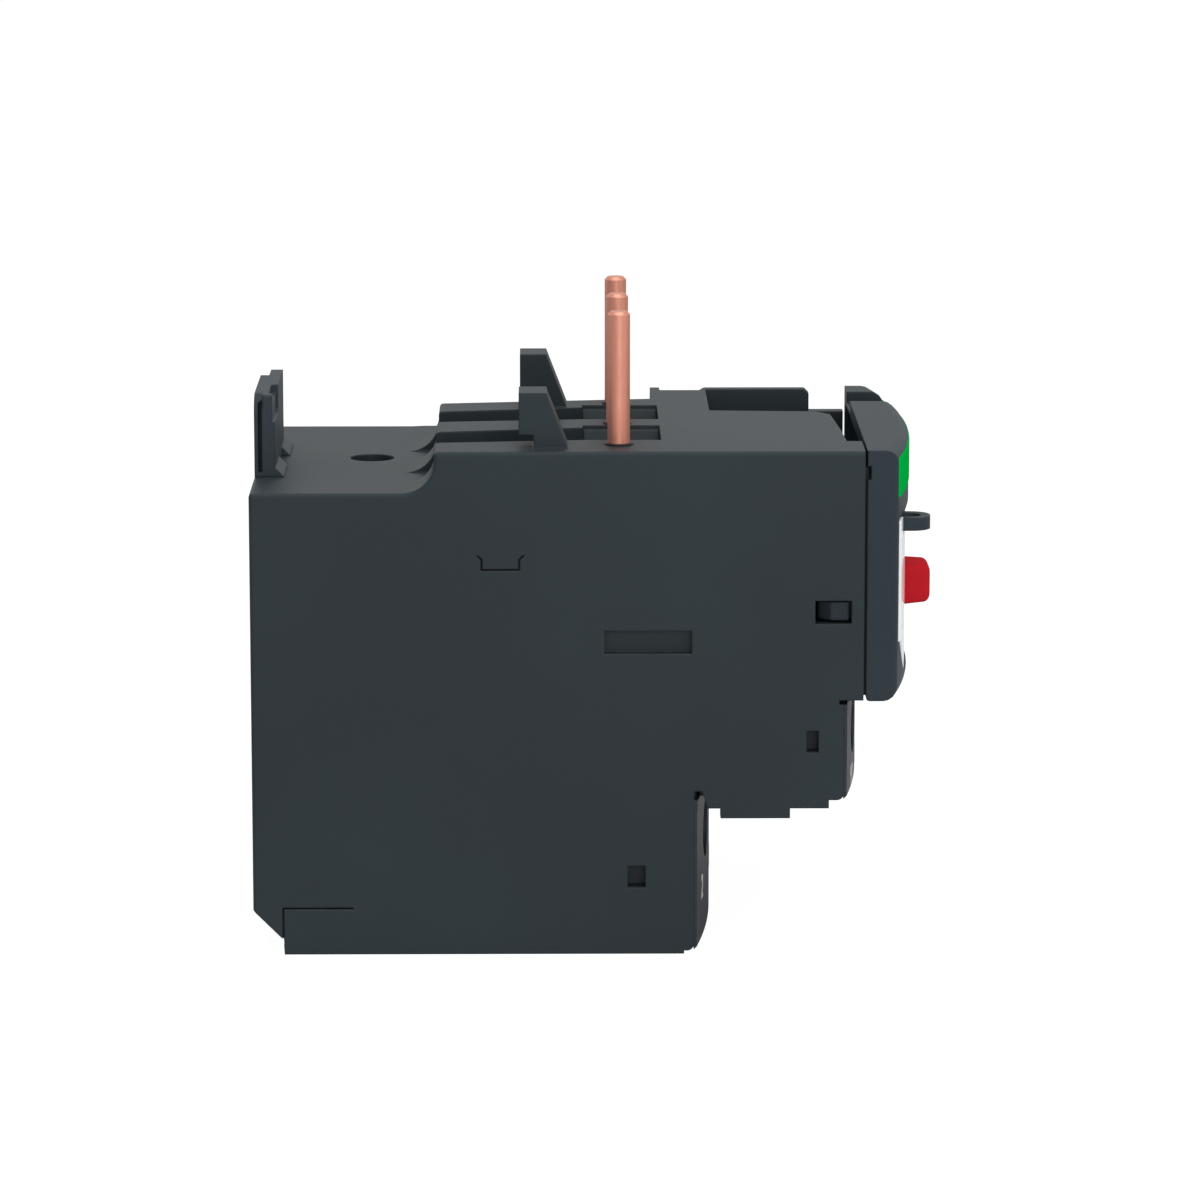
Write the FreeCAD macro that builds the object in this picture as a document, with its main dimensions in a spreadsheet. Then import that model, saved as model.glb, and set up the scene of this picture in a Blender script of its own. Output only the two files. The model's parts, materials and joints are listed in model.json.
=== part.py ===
import FreeCAD, Part
import math
import os
import Sketcher
from FreeCAD import Placement, Rotation, Vector

# Thermal overload relay, three poles, plugged under a contactor by three copper pins.
# +Z is up, the operating face looks along -Y, X runs to the right when facing it.
# The origin is the centre of the box round the relay, on its bottom face.
# Depths in the sheet are counted forwards from the flat rear face.

SIZES = [
    # name, millimetres, what it is
    ("case_width", 45.0, "housing across the poles"),
    ("case_depth", 62.55, "rear face to the front edge of the housing head"),
    ("top_level", 52.3, "top face that meets the contactor"),
    ("shoulder_level", 48.05, "top of the lower rear block"),
    ("shoulder_depth", 18.8, "rear face to the step up to the top face"),
    ("step_radius", 3.3, "hollow fillet at the foot of the step"),
    ("edge_radius", 0.4, "softened top edges"),
    ("hook_top", 56.6, "top of the rear hook"),
    ("wall", 1.8, "housing wall"),
    ("recess_floor", 46.0, "floor of the recess at the front right of the top"),
    ("seam", 0.2, "gap between moulded pieces"),
    ("slit", 0.18, "width of a moulded slit"),
    ("slit_reach", 0.6, "depth of a moulded slit"),
    ("low_front", 45.6, "front edge of the power tier's side walls"),
    ("low_top", 17.1, "top of the power tier's side walls"),
    ("mid_front", "=case_depth - 1.65", "front edge of the auxiliary tier's side walls"),
    ("mid_bottom", 15.3, "underside of the auxiliary tier"),
    ("head_bottom", 26.57, "underside of the housing head"),
    ("tab_bottom", 14.27, "underside of the tab below the auxiliary tier"),
    ("chin_cut", 0.4, "bevel along the foot of a tier's face"),
    ("face_lip", 0.3, "edge of a tier's face plate, flush with the side walls"),
    ("tier_radius", 140.0, "plan radius of the tiers' crowned faces"),
    ("crown_radius", 112.5, "plan radius of the front cover"),
    ("pole_pitch", "=(case_width - 17.04) / 2", "pin to pin"),
    ("middle_pin_x", -3.45, "middle pin from the centre plane"),
    ("pin_depth", 37.6, "pins from the rear face"),
    ("pin_radius", 1.15, "plug-in pin"),
    ("pin_top", 66.0, "tip of the pins"),
    ("pin_collar", 0.2, "step of the thicker foot of a pin"),
    ("pin_room", 0.35, "air round a pin in the top wall"),
    ("chamber_width", "=pole_pitch - 1.58", "pole chamber"),
    ("chamber_shift", 3.0, "chamber centre from its pin"),
    ("chamber_rear", 4.4, "rear of the pole chambers"),
    ("chamber_front", 41.5, "front of the pole chambers"),
    ("chamber_top", 46.3, "ceiling of the pole chambers"),
    ("base_half", "=case_width / 2 - 1.6", "half width of the bay for the bottom plate"),
    ("base_front", 28.5, "front of the bay for the bottom plate"),
    ("base_skin", 1.8, "bottom plate thickness"),
    ("load_pitch", "=(case_width - 17) / 2", "power terminal pitch"),
    ("load_level", 11.5, "power screw axis above the bottom"),
    ("load_bore", 3.2, "radius of a power screw hole"),
    ("load_screw", 2.0, "radius of a power screw"),
    ("load_plate", "=low_front - 9.0", "front of the power contact plates"),
    ("load_travel", 4.4, "opening of a power clamp"),
    ("aux_pitch", "=(case_width - 14.4) / 3", "auxiliary terminal pitch"),
    ("aux_level", 22.7, "auxiliary screw axis above the bottom"),
    ("aux_bore", 3.1, "radius of an auxiliary screw hole"),
    ("aux_screw", 1.6, "radius of an auxiliary screw"),
    ("aux_plate", "=mid_front - 9.7", "front of the auxiliary contact plates"),
    ("aux_travel", 4.0, "opening of an auxiliary clamp"),
    ("screw_room", 0.05, "running clearance of a shaft in its hole"),
    ("cover_back", "=case_depth + 0.25", "rear edge of the front cover"),
    ("cover_crest", "=cover_back + 5.35", "foremost line of the front cover"),
    ("overall_depth", "=cover_crest + 2.85", "rear face to the tip of the stop button"),
    ("cover_bottom", 26.5, "underside of the front cover"),
    ("cover_top", 52.4, "top of the front cover"),
    ("cover_skin", 1.7, "wall of the front cover"),
    ("cover_round", 1.3, "rounding of the front cover's front edges"),
    ("grip_deep", 1.2, "finger notch in the top of the front cover"),
    ("window_bottom", 27.5, "lower edge of the cover's window"),
    ("cheek_rise", 4.7, "height of the cheeks at the window's lower corners"),
    ("cheek_reach", 7.4, "width of a cheek along the window's lower edge"),
    ("window_top", 45.2, "upper edge of the cover's window"),
    ("plate_crest", "=cover_crest - 1.05", "foremost line of the setting plate"),
    ("plate_skin", 0.8, "setting plate thickness"),
    ("plate_radius", 157.0, "plan radius of the setting plate and the flap"),
    ("flap_skin", 0.5, "clear flap thickness"),
    ("flap_gap", 0.15, "air between flap and plate"),
    ("flap_pivot_x", "=-case_width * 2 / 75", "hinge line of the clear flap"),
    ("flap_pin", 0.3, "radius of the flap's hinge pins"),
    ("knuckle", 0.5, "radius of the flap's knuckle"),
    ("eye_x", "=6.5 - case_width / 2", "sealing eye from the centre plane"),
    ("eye_tip", "=cover_crest + 1.45", "tip of the sealing eye"),
    ("eye_width", 4.4, "width of the sealing eye"),
    ("eye_bottom", 43.4, "underside of the sealing eye"),
    ("eye_thick", 1.3, "thickness of the sealing eye"),
    ("dial_x", "=-case_width * 16 / 75", "current dial from the centre plane"),
    ("dial_z", 36.3, "current dial above the bottom"),
    ("dial_radius", 5.5, "current dial"),
    ("stop_x", "=case_width / 9", "stop button from the centre plane"),
    ("stop_z", 34.0, "stop button above the bottom"),
    ("stop_width", 6.0, "stop button across"),
    ("stop_height", 4.7, "stop button upright"),
    ("stop_travel", 2.2, "stroke of the stop button"),
    ("reset_x", "=case_width * 73 / 225", "reset button from the centre plane"),
    ("reset_z", 38.7, "reset button above the bottom"),
    ("reset_radius", 3.6, "reset button"),
    ("reset_tip", "=cover_crest + 0.35", "front of the reset button"),
    ("reset_travel", 2.5, "stroke of the reset button"),
    ("selector_z", 32.4, "reset selector above the bottom"),
    ("selector_radius", 1.8, "reset selector"),
    ("test_x", "=case_width * 13 / 225", "test slide from the centre plane"),
    ("test_z", 40.8, "test slide above the bottom"),
    ("test_travel", 2.0, "stroke of the test slide"),
    ("flag_x", "=case_width * 41 / 225", "trip indicator from the centre plane"),
    ("stem_radius", 1.1, "stems and shafts behind the front"),
    ("button_room", 0.25, "air round a button in the plate"),
    ("frame_back", "=case_depth - 6.55", "rear of the mechanism frame"),
    ("frame_skin", 1.4, "mechanism frame thickness"),
    ("spring_radius", 1.75, "button springs, middle of the wire"),
    ("spring_wire", 0.22, "button spring wire radius"),
    ("slider_travel", 2.0, "stroke of the slider bars"),
    ("bimetal_depth", 17.0, "middle of the bimetal strips"),
    ("bimetal_width", 5.0, "bimetal strip along the depth"),
    ("bimetal_skin", 1.0, "bimetal strip thickness"),
    ("lever_x", "=case_width / 2 - 5.9", "trip lever pivot from the centre plane"),
    ("lever_depth", 42.4, "trip lever pivot from the rear face"),
    ("lever_pin", 0.7, "trip lever pivot radius"),
]

doc = FreeCAD.newDocument("thermal_overload_relay")
sheet = doc.addObject("Spreadsheet::Sheet", "Sizes")
for row, (name, millimetres, meaning) in enumerate(SIZES, start=1):
    sheet.set("A%d" % row, meaning)
    sheet.set("B%d" % row, str(millimetres))
    sheet.setAlias("B%d" % row, name)
doc.recompute()


class Size:
    """A length that keeps the sheet formula it comes from."""

    def __init__(self, value, formula):
        self.value = float(value)
        self.formula = formula

    def __float__(self):
        return self.value

    def joined(self, other, sign, value, turned=False):
        text = other.formula if isinstance(other, Size) else repr(float(other))
        first, second = (text, self.formula) if turned else (self.formula, text)
        return Size(value, "(%s %s %s)" % (first, sign, second))

    def __add__(self, other):
        return self.joined(other, "+", self.value + float(other))

    def __radd__(self, other):
        return self.joined(other, "+", float(other) + self.value, True)

    def __sub__(self, other):
        return self.joined(other, "-", self.value - float(other))

    def __rsub__(self, other):
        return self.joined(other, "-", float(other) - self.value, True)

    def __mul__(self, other):
        return self.joined(other, "*", self.value * float(other))

    def __rmul__(self, other):
        return self.joined(other, "*", float(other) * self.value, True)

    def __truediv__(self, other):
        return self.joined(other, "/", self.value / float(other))

    def __neg__(self):
        return Size(-self.value, "(0 - %s)" % self.formula)


class Sheet:
    """Every driving size by its name."""

    def __init__(self):
        for name, millimetres, meaning in SIZES:
            setattr(self, name, Size(sheet.get(name), "Sizes." + name))


s = Sheet()
half_width = s.case_width / 2
rear_y = s.overall_depth / 2
pole_numbers = (0, 1, 2)
aux_numbers = (0, 1, 2, 3)


def y_at(depth):
    """Y of a depth counted forwards from the rear face."""
    return rear_y - depth


def bind(thing, path, size):
    """Drives one property from the sheet."""
    if isinstance(size, Size):
        thing.setExpression(path, size.formula)
    else:
        thing.setExpression(path, repr(float(size)))


# ---------------------------------------------------------------- solids from primitives

def put(thing, x, y, z):
    for axis, size in zip("xyz", (x, y, z)):
        bind(thing, "Placement.Base." + axis, size)
    return thing


def block(name, across, depths, heights):
    """Box between two X, two depths and two heights."""
    solid = doc.addObject("Part::Box", name)
    bind(solid, "Length", across[1] - across[0])
    bind(solid, "Width", depths[1] - depths[0])
    bind(solid, "Height", heights[1] - heights[0])
    return put(solid, across[0], y_at(depths[1]), heights[0])


def upright_rod(name, x, depth, heights, radius):
    """Cylinder along Z."""
    solid = doc.addObject("Part::Cylinder", name)
    bind(solid, "Radius", radius)
    bind(solid, "Height", heights[1] - heights[0])
    return put(solid, x, y_at(depth), heights[0])


def level_rod(name, x, z, depths, radius):
    """Cylinder along Y, from one depth to another."""
    solid = doc.addObject("Part::Cylinder", name)
    solid.Placement = Placement(Vector(), Rotation(Vector(1, 0, 0), 90))
    bind(solid, "Radius", radius)
    bind(solid, "Height", depths[1] - depths[0])
    return put(solid, x, y_at(depths[0]), z)


def fused(name, parts):
    solid = doc.addObject("Part::MultiFuse", name)
    solid.Shapes = parts
    solid.Refine = True
    return solid


def cut_from(name, base, tools):
    solid = doc.addObject("Part::Cut", name)
    solid.Base = base
    solid.Tool = tools[0] if len(tools) == 1 else fused(name + "_tools", tools)
    solid.Refine = True
    return solid


# ---------------------------------------------------------------- sketches and bodies

def new_body(name):
    return doc.addObject("PartDesign::Body", name)


def sketch_on(body, name, role, offset=0.0):
    """Sketch on one of the body's own origin planes, moved along the plane's normal."""
    sketch = body.newObject("Sketcher::SketchObject", name)
    plane = [item for item in body.Origin.OriginFeatures if item.Role == role][0]
    sketch.AttachmentSupport = [(plane, "")]
    sketch.MapMode = "FlatFace"
    bind(sketch, "AttachmentOffset.Base.z", offset)
    return sketch


def join_ends(sketch, pieces):
    """Adds lines and arcs in order and ties each end to the next start."""
    numbers = [sketch.addGeometry(piece, False) for piece, start, end in pieces]
    ties = []
    for index, number in enumerate(numbers):
        following = (index + 1) % len(numbers)
        end = pieces[index][2]
        start = pieces[following][1]
        ties.append(Sketcher.Constraint("Coincident", number, end, numbers[following], start))
    sketch.addConstraint(ties)


def line(first, second):
    return (Part.LineSegment(first, second), 1, 2)


def arc(first, middle, last):
    """Arc through three points; a clockwise one is stored from its far end."""
    turn = (middle - first).cross(last - middle).z
    ends = (1, 2) if turn > 0 else (2, 1)
    return (Part.Arc(first, middle, last),) + ends


def outline(sketch, points):
    """Closed outline of straight sides; a third number rounds that corner."""
    corners = [(Vector(float(point[0]), float(point[1]), 0), float(point[2]) if len(point) > 2 else 0.0)
               for point in points]
    stops = []
    for index, (corner, radius) in enumerate(corners):
        if radius == 0:
            stops.append((corner, None, corner))
            continue
        back = (corners[index - 1][0] - corner).normalize()
        ahead = (corners[(index + 1) % len(corners)][0] - corner).normalize()
        half_angle = back.getAngle(ahead) / 2
        reach = radius / math.tan(half_angle)
        bisector = (back + ahead).normalize()
        crest = corner + bisector * (radius / math.sin(half_angle) - radius)
        stops.append((corner + back * reach, crest, corner + ahead * reach))
    pieces = []
    for index, (start, crest, end) in enumerate(stops):
        if crest is not None:
            pieces.append(arc(start, crest, end))
        following = stops[(index + 1) % len(stops)][0]
        if (following - end).Length > 1e-6:
            pieces.append(line(end, following))
    join_ends(sketch, pieces)


def side_points(points):
    """Turns (depth, height, radius) into the Y and Z of a sketch seen from the side."""
    return [(y_at(point[0]),) + tuple(point[1:]) for point in points]


def plan_points(points):
    """Turns (x, depth, radius) into the X and Y of a sketch seen from above."""
    return [(point[0], y_at(point[1])) + tuple(point[2:]) for point in points]


def rectangle(sketch, across, up):
    outline(sketch, [(across[0], up[0]), (across[1], up[0]), (across[1], up[1]), (across[0], up[1])])


def crown(crest, radius, x):
    """Depth of a crowned front at a distance from the centre plane."""
    return float(crest) - (float(radius) - math.sqrt(float(radius) ** 2 - float(x) ** 2))


def crowned_plan(sketch, left, right, back, crest, radius):
    """Plan outline with a straight back and an arc in front."""
    left, right, back = float(left), float(right), float(back)
    middle = (left + right) / 2

    def front(x):
        return Vector(x, float(y_at(crown(crest, radius, x))), 0)

    rear_left = Vector(left, float(y_at(back)), 0)
    rear_right = Vector(right, float(y_at(back)), 0)
    join_ends(sketch, [line(rear_right, rear_left), line(rear_left, front(left)),
                       arc(front(left), front(middle), front(right)), line(front(right), rear_right)])


def pad(body, name, sketch, length, middle=False, reverse=False):
    feature = body.newObject("PartDesign::Pad", name)
    feature.Profile = sketch
    feature.SideType = "Symmetric" if middle else "One side"
    feature.Reversed = reverse
    feature.Refine = True
    bind(feature, "Length", length)
    doc.recompute()
    return feature


def pocket(body, name, sketch, length, middle=False, reverse=False):
    """Cuts, and makes sure that something was cut."""
    before = body.Shape.Volume
    feature = body.newObject("PartDesign::Pocket", name)
    feature.Profile = sketch
    feature.SideType = "Symmetric" if middle else "One side"
    feature.Reversed = reverse
    feature.Refine = True
    bind(feature, "Length", length)
    doc.recompute()
    if not body.Shape.Volume < before - 1e-4:
        raise RuntimeError("nothing cut by " + name)
    return feature


def groove(body, name, sketch):
    """Cuts the sketch's outline turned about the sketch's own upright axis."""
    before = body.Shape.Volume
    feature = body.newObject("PartDesign::Groove", name)
    feature.Profile = sketch
    feature.ReferenceAxis = (sketch, ["V_Axis"])
    feature.Angle = 360
    feature.Refine = True
    doc.recompute()
    if not body.Shape.Volume < before - 1e-4:
        raise RuntimeError("nothing cut by " + name)
    return feature


def fillet(body, name, radius, wanted):
    """Rounds the edges of the last feature for which wanted(edge) holds."""
    base = body.Tip
    names = ["Edge%d" % (index + 1) for index, edge in enumerate(base.Shape.Edges) if wanted(edge)]
    feature = body.newObject("PartDesign::Fillet", name)
    feature.Base = (base, names)
    bind(feature, "Radius", radius)
    doc.recompute()
    return feature


def near(first, second):
    return abs(float(first) - float(second)) < 0.02


def edge_at(edge, x=None, y=None, z=None):
    """True where both ends and the middle of an edge lie at the given places."""
    first, last = edge.ParameterRange
    spots = [edge.valueAt(first), edge.valueAt((first + last) / 2), edge.valueAt(last)]
    for wanted, axis in ((x, "x"), (y, "y"), (z, "z")):
        if wanted is not None and not all(near(getattr(spot, axis), wanted) for spot in spots):
            return False
    return True


nodes = {}      # node name: the object that is exported for it


def keep(name, thing):
    thing.Label = name
    nodes[name] = thing
    return thing


# ---------------------------------------------------------------- housing

def chamber_centre(pole):
    return s.middle_pin_x + (pole - 1) * s.pole_pitch + s.chamber_shift


def pin_x(pole):
    return s.middle_pin_x + (pole - 1) * s.pole_pitch


def load_x(pole):
    return (pole - 1) * s.load_pitch


def aux_x(number):
    return (number - 1.5) * s.aux_pitch


def make_housing():
    """Side outline carried across the width, then the cells, channels, slots and windows."""
    body = new_body("housing_case")
    chamfer = 4.65
    low_edge, mid_edge = s.low_front - s.face_lip, s.mid_front - s.face_lip
    side = sketch_on(body, "side_outline", "YZ_Plane")
    outline(side, side_points([
        (0.0, chamfer), (0.0, s.shoulder_level, s.edge_radius),
        (s.shoulder_depth, s.shoulder_level, s.step_radius), (s.shoulder_depth, s.top_level, s.edge_radius),
        (s.case_depth, s.top_level), (s.case_depth, s.head_bottom),
        (mid_edge, s.head_bottom), (mid_edge, s.mid_bottom + 0.85, 0.7),
        (s.mid_front - 1.8, s.mid_bottom + 0.85), (s.mid_front - 1.8, s.mid_bottom),
        (s.mid_front - 5.78, s.mid_bottom), (s.mid_front - 5.78, s.tab_bottom),
        (s.mid_front - 12.9, s.tab_bottom), (s.mid_front - 12.9, s.mid_bottom),
        (s.low_front + 1.1, s.mid_bottom), (s.low_front + 0.5, s.low_top), (low_edge, s.low_top),
        (low_edge, 0.33, 0.7), (s.low_front - 1.3, 0.33), (s.low_front - 1.3, 0.0),
        (3.2, 0.0), (3.1, chamfer - 3.1)]))
    pad(body, "case_block", side, s.case_width, middle=True)
    fillet(body, "soft_edges", s.edge_radius * 0.98, lambda edge: (
        (edge_at(edge, x=half_width) or edge_at(edge, x=-half_width))
        and all(vertex.Z > float(s.shoulder_level) - 0.5 and vertex.Y > float(y_at(s.case_depth)) - 0.1
                for vertex in edge.Vertexes)
        and max(vertex.Z for vertex in edge.Vertexes) > float(s.shoulder_level) - 0.45
        and not (edge.Curve.TypeId == "Part::GeomLine" and abs(edge.tangentAt(edge.FirstParameter).z) > 0.9
                 and edge.Vertexes[0].Y < float(y_at(s.case_depth)) + 0.1)))

    # Fins that hook into the contactor, on the outer two poles.
    for number, pole in enumerate((0, 2)):
        fin = sketch_on(body, "fin_outline_%d" % number, "YZ_Plane", pin_x(pole) - 2.85)
        outline(fin, side_points([(28.9, s.top_level - 0.5), (28.9, 53.7), (27.4, 53.7), (27.4, 58.0),
                                  (30.2, 58.0), (32.4, s.top_level), (32.4, s.top_level - 0.5)]))
        pad(body, "fin_%d" % number, fin, 4.7)

    # Channels between the poles for the contactor's barriers; they widen forwards.
    channel_drop = s.top_level - s.shoulder_level
    channels = sketch_on(body, "channel_plan", "XY_Plane", s.shoulder_level)
    for shift in (0.0, 1.0):
        left = pin_x(0) + shift * s.pole_pitch
        outline(channels, plan_points([(left + 1.0, 15.0), (left + 1.05, s.shoulder_depth), (left + 2.8, 34.0),
                                       (left + s.pole_pitch - 2.88, 34.0),
                                       (left + s.pole_pitch - 5.78, s.shoulder_depth),
                                       (left + s.pole_pitch - 5.83, 15.0)]))
    outline(channels, plan_points([(pin_x(2) + 0.0, 15.0), (pin_x(2) + 0.05, s.shoulder_depth),
                                   (pin_x(2) + 3.3, 41.5), (half_width + 1.0, 41.5),
                                   (half_width + 1.0, 15.0)]))
    pocket(body, "channels", channels, channel_drop + 1.0, reverse=True)
    slots = sketch_on(body, "slot_plan", "XY_Plane", s.shoulder_level - 0.6)
    for shift in (0.0, 1.0):
        left = pin_x(0) + shift * s.pole_pitch
        rectangle(slots, (left + 2.8, left + s.pole_pitch - 1.38), (y_at(42.0), y_at(34.0)))
    pocket(body, "barrier_slots", slots, channel_drop + 1.6, reverse=True)

    # Recess at the front right of the top, open towards the cover.
    inner_wall = half_width - s.wall
    recess = sketch_on(body, "recess_plan", "XY_Plane", s.recess_floor)
    outline(recess, plan_points([(5.4, 47.5), (inner_wall, 47.5), (inner_wall, s.case_depth + 1.0),
                                 (-15.6, s.case_depth + 1.0), (-15.6, 61.0), (-8.0, 60.75, 12.0),
                                 (2.6, 60.2, 1.2), (4.6, 58.7)]))
    pocket(body, "top_recess", recess, s.top_level - s.recess_floor + 1.0, reverse=True)
    lowered = sketch_on(body, "right_edge_steps", "YZ_Plane", inner_wall - 1.4)
    outline(lowered, side_points([(58.3, 53.5), (58.3, 52.3), (58.8, 51.8), (58.8, 49.85),
                                  (s.case_depth + 1.0, 49.85), (s.case_depth + 1.0, 53.5)]))
    outline(lowered, side_points([(42.5, 53.5), (42.5, 51.95, 0.2), (46.9, 51.95), (47.4, 52.28), (47.4, 53.5)]))
    pocket(body, "right_edge", lowered, 4.0, reverse=True)

    # Pole chambers open downwards, the power tier's bay and the auxiliary tier's bay.
    chambers = sketch_on(body, "chamber_plan", "XY_Plane")
    for pole in pole_numbers:
        centre = chamber_centre(pole)
        rectangle(chambers, (centre - s.chamber_width / 2, centre + s.chamber_width / 2),
                  (y_at(s.chamber_front), y_at(s.chamber_rear)))
    pocket(body, "pole_chambers", chambers, s.chamber_top, reverse=True)
    base_bay = sketch_on(body, "base_bay_plan", "XY_Plane")
    rectangle(base_bay, (-s.base_half, s.base_half), (y_at(s.base_front), y_at(s.chamber_rear)))
    pocket(body, "base_bay", base_bay, s.base_skin, reverse=True)
    bays = sketch_on(body, "power_bay_side", "YZ_Plane")
    outline(bays, side_points([(30.5, -1.0), (30.5, s.low_top + 0.2), (s.low_front + 0.1, s.low_top + 0.2),
                               (s.low_front + 0.1, s.head_bottom), (s.mid_front + 1.0, s.head_bottom),
                               (s.mid_front + 1.0, 13.0), (s.low_front + 3.0, 13.0), (s.low_front + 3.0, -1.0)]))
    outline(bays, side_points([(s.chamber_front + s.wall, s.head_bottom + s.wall),
                               (s.chamber_front + s.wall, s.recess_floor - 1.6),
                               (s.case_depth + 1.0, s.recess_floor - 1.6),
                               (s.case_depth + 1.0, s.head_bottom + s.wall)]))
    pocket(body, "bays", bays, s.case_width - 2 * s.wall, middle=True)

    # Tunnel for the slider bars, window for the trip lever, slots for the auxiliary strips.
    tunnel = sketch_on(body, "slider_tunnel_side", "YZ_Plane")
    outline(tunnel, side_points([(10.4, 40.0), (10.4, s.chamber_top), (23.4, s.chamber_top), (23.4, 40.0)]))
    pocket(body, "slider_tunnel", tunnel, 2 * (chamber_centre(2) + s.chamber_width / 2 - 0.5), middle=True)
    window = sketch_on(body, "lever_window_front", "XZ_Plane", s.chamber_front - 1.0 - rear_y)
    rectangle(window, (s.lever_x - 3.4, chamber_centre(2) + s.chamber_width / 2), (39.4, 45.6))
    pocket(body, "lever_window", window, s.wall + 2.0, reverse=True)
    pivot = sketch_on(body, "lever_pin_plan", "XY_Plane", 37.4)
    pivot.addGeometry(Part.Circle(Vector(float(s.lever_x), float(y_at(s.lever_depth)), 0), Vector(0, 0, 1),
                                  float(s.lever_pin + 0.02)), False)
    pocket(body, "lever_pin_hole", pivot, 9.6, reverse=True)
    strips = sketch_on(body, "strip_slot_plan", "XY_Plane", s.head_bottom - 0.5)
    for number in aux_numbers:
        rectangle(strips, (aux_x(number) - 1.6, aux_x(number) + 1.6), (y_at(s.aux_plate + 0.5), y_at(s.aux_plate - 1.7)))
    pocket(body, "strip_slots", strips, s.wall + 1.0, reverse=True)

    # Pin holes in the top, the round dimple on the shoulder.
    holes = sketch_on(body, "pin_hole_plan", "XY_Plane", s.chamber_top - 0.5)
    for pole in pole_numbers:
        holes.addGeometry(Part.Circle(Vector(float(pin_x(pole)), float(y_at(s.pin_depth)), 0), Vector(0, 0, 1),
                                      float(s.pin_radius + s.pin_room)), False)
    pocket(body, "pin_holes", holes, s.top_level - s.chamber_top + 1.0, reverse=True)
    dimple = sketch_on(body, "dimple_plan", "XY_Plane", s.shoulder_level - 1.2)
    dimple.addGeometry(Part.Circle(Vector(0.5, float(y_at(11.85)), 0), Vector(0, 0, 1), 2.35), False)
    pocket(body, "dimple", dimple, 2.0, reverse=True)

    # Snap windows through both side walls and the slits moulded in their faces.
    windows = sketch_on(body, "window_side", "YZ_Plane")
    for low, high, bottom, top in ((s.case_depth - 4.98, s.case_depth - 1.28, 34.53, 36.93),
                                   (s.mid_front - 4.13, s.mid_front - 2.92, 21.15, 23.4),
                                   (s.low_front - 7.13, s.low_front - 5.29, 7.0, 9.28)):
        rectangle(windows, (y_at(high), y_at(low)), (bottom, top))
    pocket(body, "snap_windows", windows, s.case_width + 1.0, middle=True)
    for name, x, reverse in (("left", -half_width, True), ("right", half_width, False)):
        marks = sketch_on(body, "%s_slits" % name, "YZ_Plane", x)
        g = s.slit
        outline(marks, side_points([(23.0, 41.7), (23.5, 41.2), (23.5, 40.1), (27.5, 40.1), (27.5, 41.2),
                                    (28.0, 41.7), (28.0 - 1.4 * g, 41.7), (27.5 - g, 41.2 + 0.4 * g),
                                    (27.5 - g, 40.1 + g), (23.5 + g, 40.1 + g), (23.5 + g, 41.2 + 0.4 * g),
                                    (23.0 + 1.4 * g, 41.7)]))
        outline(marks, side_points([(3.0, 1.0), (3.0, 4.95), (10.3, 4.95), (10.3, 4.95 - g), (3.0 + g, 4.95 - g),
                                    (3.0 + g, 1.0)]))
        pocket(body, "%s_slit_cut" % name, marks, s.slit_reach, reverse=reverse)
        well = sketch_on(body, "%s_recess" % name, "YZ_Plane", x)
        rectangle(well, (y_at(45.0), y_at(36.1)), (31.47, 33.85))
        pocket(body, "%s_recess_cut" % name, well, 1.0, reverse=reverse)
    return keep("housing_case", body)


make_housing()


# ---------------------------------------------------------------- terminal blocks

def make_tier(name, body_back, front, low, high, face_high, cells, bore, level):
    """Moulded block of one tier: crowned face plate, cells open below, a screw hole into each cell."""
    body = new_body(name)
    inner = half_width - s.wall - s.seam
    core = sketch_on(body, name + "_core", "XY_Plane", low)
    rectangle(core, (-inner, inner), (y_at(front), y_at(body_back)))
    pad(body, name + "_block", core, high - low)
    face = sketch_on(body, name + "_face", "XY_Plane", low)
    bulge = float(s.tier_radius) - math.sqrt(float(s.tier_radius) ** 2 - float(half_width) ** 2)
    crowned_plan(face, -half_width, half_width, front - s.face_lip, front + bulge, s.tier_radius)
    pad(body, name + "_face_plate", face, face_high - low)
    plate = body.Tip
    chin = body.newObject("PartDesign::Chamfer", name + "_chin")
    chin.Base = (plate, ["Edge%d" % (index + 1) for index, edge in enumerate(plate.Shape.Edges)
                         if edge_at(edge, z=low) and edge.Curve.TypeId == "Part::GeomCircle"])
    bind(chin, "Size", s.chin_cut)
    doc.recompute()
    for number, (centre, width, cell_back, cell_front, cell_top) in enumerate(cells):
        cell = sketch_on(body, "%s_cell_%d" % (name, number), "XY_Plane", low - 0.5)
        rectangle(cell, (centre - width / 2, centre + width / 2), (y_at(cell_front), y_at(cell_back)))
        pocket(body, "%s_cell_cut_%d" % (name, number), cell, cell_top - low + 0.5, reverse=True)
    holes = sketch_on(body, name + "_holes", "XZ_Plane", cells[0][2] + 2.0 - rear_y)
    for centre, width, cell_back, cell_front, cell_top in cells:
        holes.addGeometry(Part.Circle(Vector(float(centre), float(level), 0), Vector(0, 0, 1), float(bore)), False)
    pocket(body, name + "_screw_holes", holes, 20.0, reverse=True)
    return body


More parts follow.
